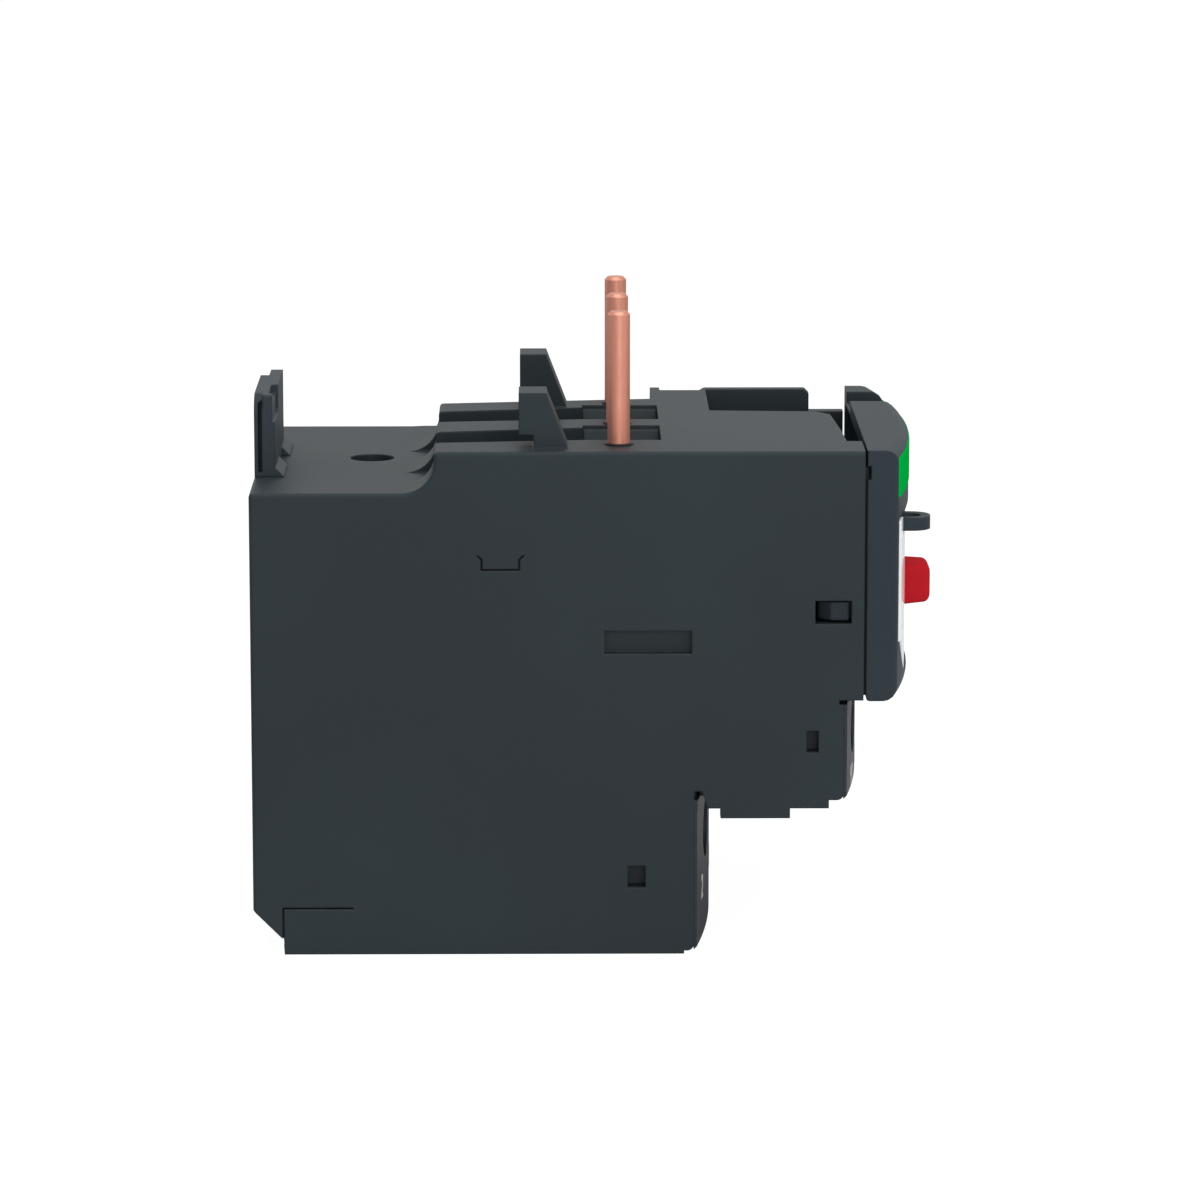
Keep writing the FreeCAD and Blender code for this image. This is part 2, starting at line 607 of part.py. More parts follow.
def make_tiers():
    load_cells = [(load_x(pole), 10.6, s.low_front - 15.6, s.low_front - 2.4, s.load_level + 4.2) for pole in pole_numbers]
    low = make_tier("load_terminal_block", 30.8, s.low_front, 0.35, s.low_top - 0.1, 15.15,
                    load_cells, s.load_bore, s.load_level)
    keep("load_terminal_block", low)
    aux_cells = [(aux_x(number), 7.6, s.mid_front - 12.4, s.mid_front - 2.9, s.aux_level + 2.4)
                 for number in aux_numbers]
    mid = make_tier("aux_terminal_block", s.low_front + 0.3, s.mid_front, s.mid_bottom + 0.9,
                    s.head_bottom - s.seam, s.head_bottom - s.seam, aux_cells, s.aux_bore, s.aux_level)
    strips = sketch_on(mid, "aux_strip_plan", "XY_Plane", s.aux_level)
    relief = sketch_on(mid, "aux_tip_relief", "XZ_Plane", s.low_front + 0.2 - rear_y)
    for number in aux_numbers:
        rectangle(strips, (aux_x(number) - 1.6, aux_x(number) + 1.6), (y_at(s.aux_plate + 0.5), y_at(s.aux_plate - 1.7)))
        relief.addGeometry(Part.Circle(Vector(float(aux_x(number)), float(s.aux_level), 0), Vector(0, 0, 1),
                                       float(s.aux_screw) + 0.4), False)
    pocket(mid, "aux_strip_slots", strips, 5.0, reverse=True)
    pocket(mid, "aux_tip_holes", relief, 4.0, reverse=True)
    keep("aux_terminal_block", mid)


make_tiers()


# ---------------------------------------------------------------- terminals

def make_screw(name, x, z, head_back, head_front, head_radius, shank_radius, tip):
    """Cheese-head screw: head, shank and a straight slot crossed by a shorter one."""
    head = level_rod(name + "_head", x, z, (head_back, head_front), head_radius)
    shank = level_rod(name + "_shank", x, z, (tip, head_back + 0.2), shank_radius)
    slot = block(name + "_slot", (x - head_radius - 0.2, x + head_radius + 0.2), (head_front - 1.1, head_front + 0.5),
                 (z - 0.4, z + 0.4))
    cross = block(name + "_cross", (x - 0.4, x + 0.4), (head_front - 1.3, head_front + 0.5),
                  (z - head_radius * 0.6, z + head_radius * 0.6))
    return keep(name, cut_from(name, fused(name + "_blank", [head, shank]), [slot, cross]))


def make_load_terminals():
    for pole in pole_numbers:
        number = pole + 1
        x, z, room = load_x(pole), s.load_level, s.screw_room
        plate_front, foot = s.load_plate, s.bimetal_depth - 3.0
        strap = block("load_strap_%d" % number, (x - 2.4, x + 2.4), (foot, plate_front - 0.2), (4.2, 5.4))
        plate = block("load_plate_%d" % number, (x - 5.1, x + 5.1), (plate_front - 1.4, plate_front),
                      (4.2, z + 3.6))
        heel = block("load_heel_%d" % number, (x - 2.4, x + 2.4), (foot, foot + 6.0), (4.2, 6.5))
        thread = level_rod("load_thread_%d" % number, x, z, (plate_front - 3.0, plate_front + 1.0),
                           s.load_screw + room)
        boss = level_rod("load_boss_%d" % number, x, z, (plate_front - 2.6, plate_front - 1.2), s.load_screw + 1.2)
        keep("load_terminal_%d" % number, cut_from("load_terminal_%d" % number, fused(
            "load_terminal_blank_%d" % number, [strap, plate, heel, boss]), [thread]))
        clamp_back = plate_front + s.load_travel + 0.1
        saddle = block("load_saddle_%d" % number, (x - 3.9, x + 3.9), (clamp_back, clamp_back + 1.2),
                       (z - 3.3, z + 3.3))
        lips = [block("load_lip_%d_%d" % (number, turn), (x + turn * 3.5 - 0.4, x + turn * 3.5 + 0.4),
                      (clamp_back + 1.0, clamp_back + 1.8), (z - 3.3, z + 3.3)) for turn in (-1, 1)]
        hole = level_rod("load_saddle_hole_%d" % number, x, z, (clamp_back - 1.0, clamp_back + 2.0),
                         s.load_screw + room)
        keep("load_clamp_%d" % number, cut_from("load_clamp_%d" % number, fused(
            "load_clamp_blank_%d" % number, [saddle] + lips), [hole]))
        make_screw("load_screw_%d" % number, x, z, clamp_back + 1.25, clamp_back + 3.6, s.load_bore - 0.3,
                   s.load_screw, plate_front - 3.0)


def make_aux_terminals():
    for index in aux_numbers:
        number = index + 1
        x, z, room = aux_x(index), s.aux_level, s.screw_room
        plate_front = s.aux_plate
        plate = block("aux_plate_%d" % number, (x - 3.6, x + 3.6), (plate_front - 1.2, plate_front),
                      (z - 5.2, z + 2.2))
        tongue = block("aux_tongue_%d" % number, (x - 1.2, x + 1.2), (plate_front - 1.2, plate_front),
                       (z + 1.9, 41.9))
        thread = level_rod("aux_thread_%d" % number, x, z, (plate_front - 3.0, plate_front + 1.0), s.aux_screw + room)
        keep("aux_terminal_%d" % number, cut_from("aux_terminal_%d" % number, fused(
            "aux_terminal_blank_%d" % number, [plate, tongue]), [thread]))
        clamp_back = plate_front + s.aux_travel + 0.15
        saddle = block("aux_saddle_%d" % number, (x - 3.2, x + 3.2), (clamp_back, clamp_back + 1.0),
                       (z - 2.9, z + 2.2))
        hole = level_rod("aux_saddle_hole_%d" % number, x, z, (clamp_back - 1.0, clamp_back + 2.0),
                         s.aux_screw + room)
        keep("aux_clamp_%d" % number, cut_from("aux_clamp_%d" % number, saddle, [hole]))
        make_screw("aux_screw_%d" % number, x, z, clamp_back + 1.05, clamp_back + 3.2, s.aux_bore - 0.3,
                   s.aux_screw, plate_front - 1.3)


make_load_terminals()
make_aux_terminals()


# ---------------------------------------------------------------- pins, heaters and bimetals

def make_poles():
    for pole in pole_numbers:
        number = pole + 1
        x, centre = pin_x(pole), chamber_centre(pole)
        strap_top = 39.0
        rod = upright_rod("pin_rod_%d" % number, x, s.pin_depth, (strap_top - 1.2, s.pin_top), s.pin_radius)
        collar = upright_rod("pin_collar_%d" % number, x, s.pin_depth, (strap_top - 1.2, s.top_level + 0.2),
                             s.pin_radius + s.pin_collar)
        strap = block("pin_strap_%d" % number, (x - 1.3, x + 1.3), (s.bimetal_depth - 1.2, s.pin_depth + 1.3),
                      (strap_top - 1.2, strap_top))
        lug = block("pin_lug_%d" % number, (x - 1.3, centre - 2.6), (s.bimetal_depth - 1.2, s.bimetal_depth + 1.2),
                    (32.5, strap_top - 0.2))
        tip = doc.addObject("Part::Chamfer", "contact_pin_%d" % number)
        blank = fused("contact_pin_blank_%d" % number, [rod, collar, strap, lug])
        doc.recompute()
        tip.Base = blank
        rims = [index + 1 for index, edge in enumerate(blank.Shape.Edges) if edge_at(edge, z=s.pin_top)]
        tip.Edges = [(rim, 0.3, 0.3) for rim in rims]
        keep("contact_pin_%d" % number, tip)

        strip = block("bimetal_blade_%d" % number, (centre - s.bimetal_skin / 2, centre + s.bimetal_skin / 2),
                      (s.bimetal_depth - s.bimetal_width / 2, s.bimetal_depth + s.bimetal_width / 2), (6.5, 42.6))
        keep("bimetal_strip_%d" % number, strip)
        make_heater("heater_winding_%d" % number, centre)


def make_heater(name, centre):
    """Ribbon turns round a sleeve; the bimetal stands in the sleeve's slot."""
    body = new_body(name)
    turns, pitch, bottom = 9, 2.9, 7.6
    half_deep = s.bimetal_width / 2 + 0.5

    def ring(sketch, grow):
        side, deep, cut = 2.1 + grow, half_deep + grow, 0.8
        middle = y_at(s.bimetal_depth)
        outline(sketch, [(centre + across * side - along * cut * 0.5, middle + up * deep - rise * cut * 0.5)
                         for across, up, along, rise in (
                             (1, 1, 0, 1), (1, 1, 1, 0), (-1, 1, -1, 0), (-1, 1, 0, 1),
                             (-1, -1, 0, -1), (-1, -1, -1, 0), (1, -1, 1, 0), (1, -1, 0, -1))])

    sleeve = sketch_on(body, name + "_sleeve", "XY_Plane", bottom)
    ring(sleeve, 0.0)
    pad(body, name + "_core", sleeve, turns * pitch)
    ribbon = sketch_on(body, name + "_ribbon", "XY_Plane", bottom + 0.6)
    ring(ribbon, 0.5)
    turn = pad(body, name + "_turn", ribbon, 1.7)
    rows = body.newObject("PartDesign::LinearPattern", name + "_turns")
    rows.Originals = [turn]
    rows.Direction = (sleeve, ["N_Axis"])
    rows.Length = (turns - 1) * pitch
    rows.Occurrences = turns
    body.Tip = rows
    doc.recompute()
    slot = sketch_on(body, name + "_slot", "XY_Plane", bottom - 1.0)
    rectangle(slot, (centre - s.bimetal_skin / 2 - 0.15, centre + s.bimetal_skin / 2 + 0.15),
              (y_at(s.bimetal_depth) - s.bimetal_width / 2 - 0.15, y_at(s.bimetal_depth) + s.bimetal_width / 2 + 0.15))
    pocket(body, name + "_slot_cut", slot, turns * pitch + 2.0, reverse=True)
    keep(name, body)


make_poles()


# ---------------------------------------------------------------- front cover, setting plate, clear flap

def plate_back(extra=0.0):
    return s.plate_crest - s.plate_skin - extra


def flap_front():
    return s.plate_crest + s.flap_gap + s.flap_skin


def cheek(sketch, side, gap):
    """Corner of the window: a hollow curve from the side edge down to the lower edge, grown by a gap."""
    edge, foot = side * float(half_width - 1.1), float(s.window_bottom)
    rise, reach = float(s.cheek_rise) + gap, float(s.cheek_reach) + gap
    high, low = Vector(edge, foot + rise, 0), Vector(edge - side * reach, foot, 0)
    shelf = high - Vector(side * 1.2, 0, 0)
    bend = (shelf + low) / 2 + Vector(side * 0.35, -0.2, 0)
    corner, under = Vector(edge + side, foot - 1, 0), Vector(edge + side, high.y, 0)
    foot_end = Vector(low.x, foot - 1, 0)
    join_ends(sketch, [line(under, shelf), arc(shelf, bend, low), line(low, foot_end), line(foot_end, corner),
                       line(corner, under)])


def make_cover():
    """Crowned shell with a window; the sealing eye grows from the ledge at the window's top."""
    body = new_body("front_cover")
    plan = sketch_on(body, "cover_plan", "XY_Plane", s.cover_bottom)
    radius, corner, side = float(s.crown_radius), float(s.cover_round), float(half_width)
    centre = Vector(0, float(y_at(s.cover_crest)) + radius, 0)
    hub = centre + Vector(side - corner, -math.sqrt((radius - corner) ** 2 - (side - corner) ** 2), 0)
    outward = (hub - centre).normalize()
    front_end, side_end = hub + outward * corner, hub + Vector(corner, 0, 0)
    bend = hub + (outward + Vector(1, 0, 0)).normalize() * corner
    rear_y_here = float(y_at(s.cover_back))

    def mirrored(point):
        return Vector(-point.x, point.y, 0)

    join_ends(plan, [line(Vector(side, rear_y_here, 0), Vector(-side, rear_y_here, 0)),
                     line(Vector(-side, rear_y_here, 0), mirrored(side_end)),
                     arc(mirrored(side_end), mirrored(bend), mirrored(front_end)),
                     arc(mirrored(front_end), centre - Vector(0, radius, 0), front_end),
                     arc(front_end, bend, side_end), line(side_end, Vector(side, rear_y_here, 0))])
    pad(body, "cover_block", plan, s.cover_top - s.cover_bottom)
    inner = half_width - s.cover_skin
    hollow = sketch_on(body, "cover_hollow_plan", "XY_Plane", s.cover_bottom + s.cover_skin)
    crowned_plan(hollow, -inner, inner, s.cover_back - 1.0, s.cover_crest - 2.7, s.crown_radius)
    pocket(body, "cover_hollow", hollow, s.cover_top - s.cover_bottom - 2 * s.cover_skin, reverse=True)

    window = sketch_on(body, "window_plan", "XY_Plane", s.window_bottom)
    reach, ahead = half_width - 1.1, y_at(s.eye_tip + 2.4)
    back_crest = plate_back(0.02)
    join_ends(window, [line(Vector(float(reach), float(ahead), 0), Vector(-float(reach), float(ahead), 0)),
                       line(Vector(-float(reach), float(ahead), 0),
                            Vector(-float(reach), float(y_at(crown(back_crest, s.plate_radius, reach))), 0)),
                       arc(Vector(-float(reach), float(y_at(crown(back_crest, s.plate_radius, reach))), 0),
                           Vector(0, float(y_at(back_crest)), 0),
                           Vector(float(reach), float(y_at(crown(back_crest, s.plate_radius, reach))), 0)),
                       line(Vector(float(reach), float(y_at(crown(back_crest, s.plate_radius, reach))), 0),
                            Vector(float(reach), float(ahead), 0))])
    pocket(body, "window_recess", window, s.window_top - s.window_bottom, reverse=True)
    ledge = crown(plate_back(0.3), s.plate_radius, reach)
    for side in (-1, 1):
        patch = sketch_on(body, "cheek_front_%d" % (side + 1), "XZ_Plane", ledge - rear_y)
        cheek(patch, side, 0.0)
        pad(body, "cheek_%d" % (side + 1), patch, s.cover_crest - ledge)
    proud = sketch_on(body, "cheek_trim_plan", "XY_Plane", s.cover_bottom - 0.5)
    wide = Vector(1.0, 0, 0)
    right, left = Vector(side_end.x, float(ahead), 0) + wide, mirrored(Vector(side_end.x, float(ahead), 0) + wide)
    join_ends(proud, [line(mirrored(side_end) - wide, mirrored(side_end)),
                      arc(mirrored(side_end), mirrored(bend), mirrored(front_end)),
                      arc(mirrored(front_end), centre - Vector(0, radius, 0), front_end),
                      arc(front_end, bend, side_end), line(side_end, side_end + wide),
                      line(side_end + wide, right), line(right, left), line(left, mirrored(side_end) - wide)])
    pocket(body, "cheek_trim", proud, s.window_top - s.cover_bottom - 4.0, reverse=True)
    for name, level, turn in (("chin", s.cover_bottom, 1), ("brow", s.cover_top, -1)):
        edge = sketch_on(body, "cover_%s_profile" % name, "YZ_Plane")
        bind(edge, "AttachmentOffset.Base.x", y_at(s.cover_crest) + s.crown_radius)
        flats = [math.radians(90.0 * step / 4) for step in range(5)]
        turned = [(-radius + corner * (1 - math.cos(angle)), float(level) + turn * corner * (1 - math.sin(angle)))
                  for angle in flats]
        outline(edge, turned + [(turned[-1][0], float(level) - turn), (-radius - 1, float(level) - turn),
                                (-radius - 1, turned[0][1])])
        groove(body, "cover_" + name, edge)
    heel = sketch_on(body, "cover_heel_side", "YZ_Plane", -half_width - 1.0)
    turns = [math.radians(22.5 * step) for step in range(5)]
    outline(heel, side_points([(s.cover_back + 0.9 * (1 - math.sin(angle)), s.cover_bottom + 0.9 * (1 - math.cos(angle)))
                               for angle in turns] + [(s.cover_back - 0.5, s.cover_bottom + 0.9),
                                                      (s.cover_back - 0.5, s.cover_bottom - 0.5),
                                                      (s.cover_back + 0.9, s.cover_bottom - 0.5)]))
    pocket(body, "cover_heel", heel, s.case_width + 2.0, reverse=True)
    grip = sketch_on(body, "grip_plan", "XY_Plane", s.cover_top - s.grip_deep)
    rectangle(grip, (half_width - 11.3, half_width - 4.5), (ahead, y_at(s.cover_back - 1.0)))
    pocket(body, "finger_grip", grip, 3.0, reverse=True)
    for side in (-1, 1):
        lip = sketch_on(body, "lip_plan_%d" % (side + 1), "XY_Plane", s.head_bottom + s.wall + s.seam)
        root, reach_in = side * (inner + 0.1), side * (inner - s.seam - 0.1)
        outline(lip, plan_points([(root, s.cover_back + 1.3), (root, s.cover_back + 0.1),
                                  (reach_in, s.cover_back + 0.1), (reach_in, s.cover_back - 1.4),
                                  (side * (inner - 1.0), s.cover_back - 1.4),
                                  (side * (inner - 1.0), s.cover_back + 1.3)]))
        pad(body, "lip_%d" % (side + 1), lip, s.recess_floor - s.head_bottom - 2 * s.wall - 0.2)
    notch = sketch_on(body, "rear_notch_side", "YZ_Plane", -half_width)
    rectangle(notch, (y_at(s.cover_back + 0.35), y_at(s.cover_back - 0.5)), (s.cover_top - 3.0, s.cover_top - 1.6))
    pocket(body, "rear_notch", notch, s.cover_skin, reverse=True)
    through = sketch_on(body, "window_front", "XZ_Plane", s.cover_back - rear_y)
    rectangle(through, (-half_width + 3.4, half_width - 3.4), (s.window_bottom + 1.4, s.eye_bottom - 0.8))
    pocket(body, "window_through", through, 10.0, reverse=True)

    eye = sketch_on(body, "eye_plan", "XY_Plane", s.eye_bottom)
    half_eye = s.eye_width / 2
    root = crown(plate_back(0.4), s.plate_radius, s.eye_x)
    outline(eye, plan_points([(s.eye_x - half_eye, root), (s.eye_x - half_eye, s.eye_tip, 1.9),
                              (s.eye_x + half_eye, s.eye_tip, 1.9), (s.eye_x + half_eye, root)]))
    eye.addGeometry(Part.Circle(Vector(float(s.eye_x), float(y_at(s.eye_tip - 2.0)), 0), Vector(0, 0, 1), 1.0), False)
    pad(body, "sealing_eye", eye, s.eye_thick)

    hinge = sketch_on(body, "hinge_hole_plan", "XY_Plane", s.window_bottom - 0.5)
    hinge.addGeometry(Part.Circle(Vector(float(s.flap_pivot_x), float(y_at(flap_pivot_depth())), 0), Vector(0, 0, 1),
                                  float(s.flap_pin + s.screw_room)), False)
    pocket(body, "hinge_holes", hinge, s.window_top - s.window_bottom + 1.0, reverse=True)

    # Snap arms that reach back into the housing's side windows.
    for side in (-1, 1):
        arm = sketch_on(body, "arm_side_%d" % (side + 1), "YZ_Plane", side * (inner - s.seam - 0.5) - 0.5)
        outline(arm, side_points([(s.cover_back - 4.9, 34.8), (s.cover_back - 4.9, 36.7), (s.cover_back + 1.7, 36.7), (s.cover_back + 1.7, 34.8)]))
        pad(body, "arm_%d" % (side + 1), arm, 1.0)
        nose = sketch_on(body, "nose_plan_%d" % (side + 1), "XY_Plane", 34.8)
        arm_face = side * (inner - s.seam)
        outline(nose, plan_points([(arm_face - side * 0.2, s.cover_back - 4.8),
                                   (arm_face + side * 0.2, s.cover_back - 4.8),
                                   (arm_face + side * 1.3, s.cover_back - 3.6),
                                   (arm_face + side * 1.3, s.cover_back - 1.8),
                                   (arm_face - side * 0.2, s.cover_back - 1.8)]))
        pad(body, "nose_%d" % (side + 1), nose, 1.9)
    return keep("front_cover", body)


def flap_pivot_depth():
    """The knuckle stands a little proud of the flap's outer face."""
    return crown(flap_front(), s.plate_radius, s.flap_pivot_x) + 0.1 - s.knuckle


def make_plate():
    """White plate in the window, with an opening for each control."""
    body = new_body("setting_plate")
    plan = sketch_on(body, "plate_plan", "XY_Plane", s.window_bottom + 0.1)
    reach = half_width - 1.2
    back, front = plate_back(), s.plate_crest
    edge_back = Vector(float(reach), float(y_at(crown(back, s.plate_radius, reach))), 0)
    edge_front = Vector(float(reach), float(y_at(crown(front, s.plate_radius, reach))), 0)
    other_back, other_front = Vector(-edge_back.x, edge_back.y, 0), Vector(-edge_front.x, edge_front.y, 0)
    join_ends(plan, [line(other_back, other_front), arc(other_front, Vector(0, float(y_at(front)), 0), edge_front),
                     line(edge_front, edge_back), arc(edge_back, Vector(0, float(y_at(back)), 0), other_back)])
    pad(body, "plate_sheet", plan, s.window_top - s.window_bottom - 0.2)
    openings = sketch_on(body, "plate_openings", "XZ_Plane", s.cover_back - rear_y)
    for x, z, radius in ((s.dial_x, s.dial_z, s.dial_radius), (s.reset_x, s.reset_z, s.reset_radius),
                         (s.reset_x, s.selector_z, s.selector_radius)):
        openings.addGeometry(Part.Circle(Vector(float(x), float(z), 0), Vector(0, 0, 1),
                                         float(radius + s.button_room)), False)
    half_stop, half_tall = s.stop_width / 2 + s.button_room, s.stop_height / 2 + s.button_room
    rectangle(openings, (s.stop_x - half_stop, s.stop_x + half_stop), (s.stop_z - half_tall, s.stop_z + half_tall))
    rectangle(openings, (s.test_x - 1.0 - s.button_room, s.test_x + 1.0 + s.test_travel + s.button_room),
              (s.test_z - 0.9 - s.button_room, s.test_z + 0.9 + s.button_room))
    rectangle(openings, (s.flag_x - 1.0, s.flag_x + 1.2), (s.test_z - 1.2, s.test_z + 1.2))
    pocket(body, "plate_opening_cut", openings, 10.0, reverse=True)
    corners = sketch_on(body, "plate_notches", "XZ_Plane", s.cover_back - rear_y)
    rectangle(corners, (s.eye_x - s.eye_width / 2 - 0.15, s.eye_x + s.eye_width / 2 + 0.15),
              (s.eye_bottom - 0.15, s.window_top + 1.0))
    pocket(body, "plate_notch_cut", corners, 10.0, reverse=True)
    for side in (-1, 1):
        cut = sketch_on(body, "plate_corner_%d" % (side + 1), "XZ_Plane", s.cover_back - rear_y)
        cheek(cut, side, 0.12)
        pocket(body, "plate_corner_cut_%d" % (side + 1), cut, 10.0, reverse=True)
    groove = sketch_on(body, "knuckle_groove", "XZ_Plane", flap_pivot_depth() - s.knuckle - 0.1 - rear_y)
    rectangle(groove, (s.flap_pivot_x - 0.75, s.flap_pivot_x + 0.75), (s.window_bottom - 1.0, s.window_top + 1.0))
    pocket(body, "knuckle_groove_cut", groove, 2.0, reverse=True)
    return keep("setting_plate", body)


def make_flap():
    """Clear curved door over the dial, with a knuckle along its right edge and a notch for the eye."""
    body = new_body("clear_flap")
    low, high = s.window_bottom + 0.25, s.window_top - 0.25
    left, right = float(-half_width + 1.3), float(s.flap_pivot_x)
    outer, inner = flap_front(), flap_front() - s.flap_skin

    def at(crest, x):
        return Vector(x, float(y_at(crown(crest, s.plate_radius, x))), 0)

    middle = (left + right) / 2
    plan = sketch_on(body, "flap_plan", "XY_Plane", low)
    join_ends(plan, [line(at(inner, left), at(outer, left)), arc(at(outer, left), at(outer, middle), at(outer, right)),
                     line(at(outer, right), at(inner, right)), arc(at(inner, right), at(inner, middle), at(inner, left))])
    pad(body, "flap_skin_pad", plan, high - low)
    knuckle = sketch_on(body, "knuckle_plan", "XY_Plane", low)
    centre = Vector(right, float(y_at(flap_pivot_depth())), 0)
    knuckle.addGeometry(Part.Circle(centre, Vector(0, 0, 1), float(s.knuckle)), False)
    pad(body, "knuckle", knuckle, high - low)
    pins = sketch_on(body, "flap_pin_plan", "XY_Plane", s.window_bottom - 0.4)
    pins.addGeometry(Part.Circle(centre, Vector(0, 0, 1), float(s.flap_pin)), False)
    pad(body, "flap_pins", pins, s.window_top - s.window_bottom + 0.8)
    notch = sketch_on(body, "flap_notch_front", "XZ_Plane", s.cover_back - rear_y)
    rectangle(notch, (s.eye_x - s.eye_width / 2 - 0.5, s.eye_x + s.eye_width / 2 + 0.5),
              (s.eye_bottom - 0.3, s.window_top + 1.0))
    pocket(body, "flap_notch", notch, 10.0, reverse=True)
    cut = sketch_on(body, "flap_corner", "XZ_Plane", s.cover_back - rear_y)
    cheek(cut, -1, 0.35)
    pocket(body, "flap_corner_cut", cut, 10.0, reverse=True)
    return keep("clear_flap", body)


make_cover()
make_plate()
make_flap()


# ---------------------------------------------------------------- bottom plate and rear hook

def make_base():
    gap = s.seam / 2
    keep("bottom_plate", block("bottom_plate", (gap - s.base_half, s.base_half - gap),
                               (s.chamber_rear + gap, s.base_front - gap), (0.0, s.base_skin - gap)))


def make_hook():
    """Two-layer latch tongue behind the shoulder: stepped front, notched top, slotted end and two ramps."""
    body = new_body("rear_hook")
    foot, top, end = s.shoulder_level, s.hook_top, -12.0
    rear = sketch_on(body, "hook_rear_front", "XZ_Plane", 0.1 - rear_y)
    outline(rear, [(end, foot), (2.6, foot), (2.6, top, 0.3), (end, top, 2.0)])
    pad(body, "hook_rear_layer", rear, 0.95)
    front = sketch_on(body, "hook_front_front", "XZ_Plane", 1.0 - rear_y)
    outline(front, [(end, foot), (6.6, foot), (6.6, top, 0.2), (end, top, 0.2)])
    pad(body, "hook_front_layer", front, 1.25)
    for number, (left, right) in enumerate(((end, -4.4), (1.8, 9.4))):
        ramp = sketch_on(body, "hook_ramp_side_%d" % number, "YZ_Plane", left)
        outline(ramp, side_points([(1.0, foot), (1.0, foot + 1.25), (2.0, foot + 1.25), (3.2, foot)]))
        pad(body, "hook_ramp_%d" % number, ramp, right - left)
    step = sketch_on(body, "hook_step_front", "XZ_Plane", 2.0 - rear_y)
    outline(step, [(end - 0.5, top - 2.8), (-5.4, top - 2.8), (-4.6, top - 2.4), (-4.6, top + 0.5),
                   (end - 0.5, top + 0.5)])
    pocket(body, "hook_step", step, 1.0, reverse=True)
    notch = sketch_on(body, "hook_notch_front", "XZ_Plane", 1.55 - rear_y)
    rectangle(notch, (end + 1.1, -4.6), (top - 0.85, top + 0.5))
    pocket(body, "hook_notch", notch, 1.0, reverse=True)
    groove_end = sketch_on(body, "hook_end_side", "YZ_Plane", end - 0.5)
    outline(groove_end, side_points([(0.5, foot + 0.5), (0.9, foot + 0.5), (0.9, top - 0.6), (0.5, top - 0.9)]))
    pocket(body, "hook_end_groove", groove_end, 2.0, reverse=True)
    keep("rear_hook", body)


make_base()
make_hook()


# ---------------------------------------------------------------- controls and mechanism

def make_spring(name, x, z, depths, turns):
    """Wire swept along a coil of short straight runs; its ends stop half a wire short of both seats."""
    length = float(depths[1] - depths[0]) - 2 * float(s.spring_wire)
    radius, wire, runs = float(s.spring_radius), float(s.spring_wire), 12
    coil = [Vector(radius * math.cos(2 * math.pi * step / runs), radius * math.sin(2 * math.pi * step / runs),
                   length * step / (runs * turns)) for step in range(runs * turns + 1)]
    corners = [Vector(radius + wire * math.cos(math.pi * side / 2), 0, wire * math.sin(math.pi * side / 2))
               for side in range(5)]
    path, section = Part.makePolygon(coil), Part.makePolygon(corners)
    spring = doc.addObject("Part::Feature", name)
    spring.Shape = path.makePipeShell([section], True, True, 1)
    spring.Placement = Placement(Vector(float(x), float(y_at(depths[0])) - wire, float(z)),
                                 Rotation(Vector(1, 0, 0), 90))
    return keep(name, spring)


def make_frame():
    """Inner plate that guides every stem and shaft behind the setting plate."""
    front = s.frame_back + s.frame_skin
    side = half_width - s.wall - s.seam
    sheet_block = block("frame_sheet", (-side, side), (s.frame_back, front),
                        (s.head_bottom + s.wall + s.seam, s.recess_floor - 1.8))
    holes = [level_rod("frame_hole_%d" % number, x, z, (s.frame_back - 1.0, front + 1.0),
                       s.stem_radius + s.screw_room)
             for number, (x, z) in enumerate(((s.dial_x, s.dial_z), (s.stop_x, s.stop_z), (s.reset_x, s.reset_z),
                                              (s.reset_x, s.selector_z)))]
    holes.append(block("frame_test_slot", (s.test_x - 0.7, s.test_x + 0.7 + s.test_travel),
                       (s.frame_back - 1.0, front + 1.0), (s.test_z - 0.7, s.test_z + 0.7)))
    ledge = block("frame_flag_ledge", (s.flag_x - 2.4, s.flag_x + 2.4), (front - 0.2, front + 3.0),
                  (s.test_z - 2.6, s.test_z - 1.8))
    keep("mechanism_frame", cut_from("mechanism_frame", fused("mechanism_frame_blank", [sheet_block, ledge]), holes))


def make_dial():
    face_depth = crown(s.plate_crest, s.plate_radius, s.dial_x - s.dial_radius)
    disc = level_rod("dial_disc", s.dial_x, s.dial_z, (s.plate_crest - 2.8, face_depth), s.dial_radius)
    shaft = level_rod("dial_shaft", s.dial_x, s.dial_z, (s.frame_back - 2.6, s.plate_crest - 2.6), s.stem_radius)
    collar = level_rod("dial_collar", s.dial_x, s.dial_z, (s.frame_back + s.frame_skin + 0.2, s.frame_back + 3.0),
                       s.stem_radius + 1.2)
    slot = block("dial_slot", (s.dial_x - 2.6, s.dial_x + 2.6), (face_depth - 1.0, face_depth + 1.0),
                 (s.dial_z - 0.5, s.dial_z + 0.5))
    arrow = block("dial_arrow", (s.dial_x - 0.35, s.dial_x + 0.35), (face_depth - 0.5, face_depth + 1.0),
                  (s.dial_z + 2.2, s.dial_z + 3.6))
    keep("current_dial", cut_from("current_dial", fused("current_dial_blank", [disc, shaft, collar]), [slot, arrow]))
    cam_depths = (s.frame_back - 2.6, s.frame_back - 0.5)
    cam = level_rod("cam_disc", s.dial_x + 0.8, s.dial_z, cam_depths, 2.6)
    bore = level_rod("cam_bore", s.dial_x, s.dial_z, (cam_depths[0] - 1.0, cam_depths[1] + 1.0), s.stem_radius)
    keep("setting_cam", cut_from("setting_cam", cam, [bore]))


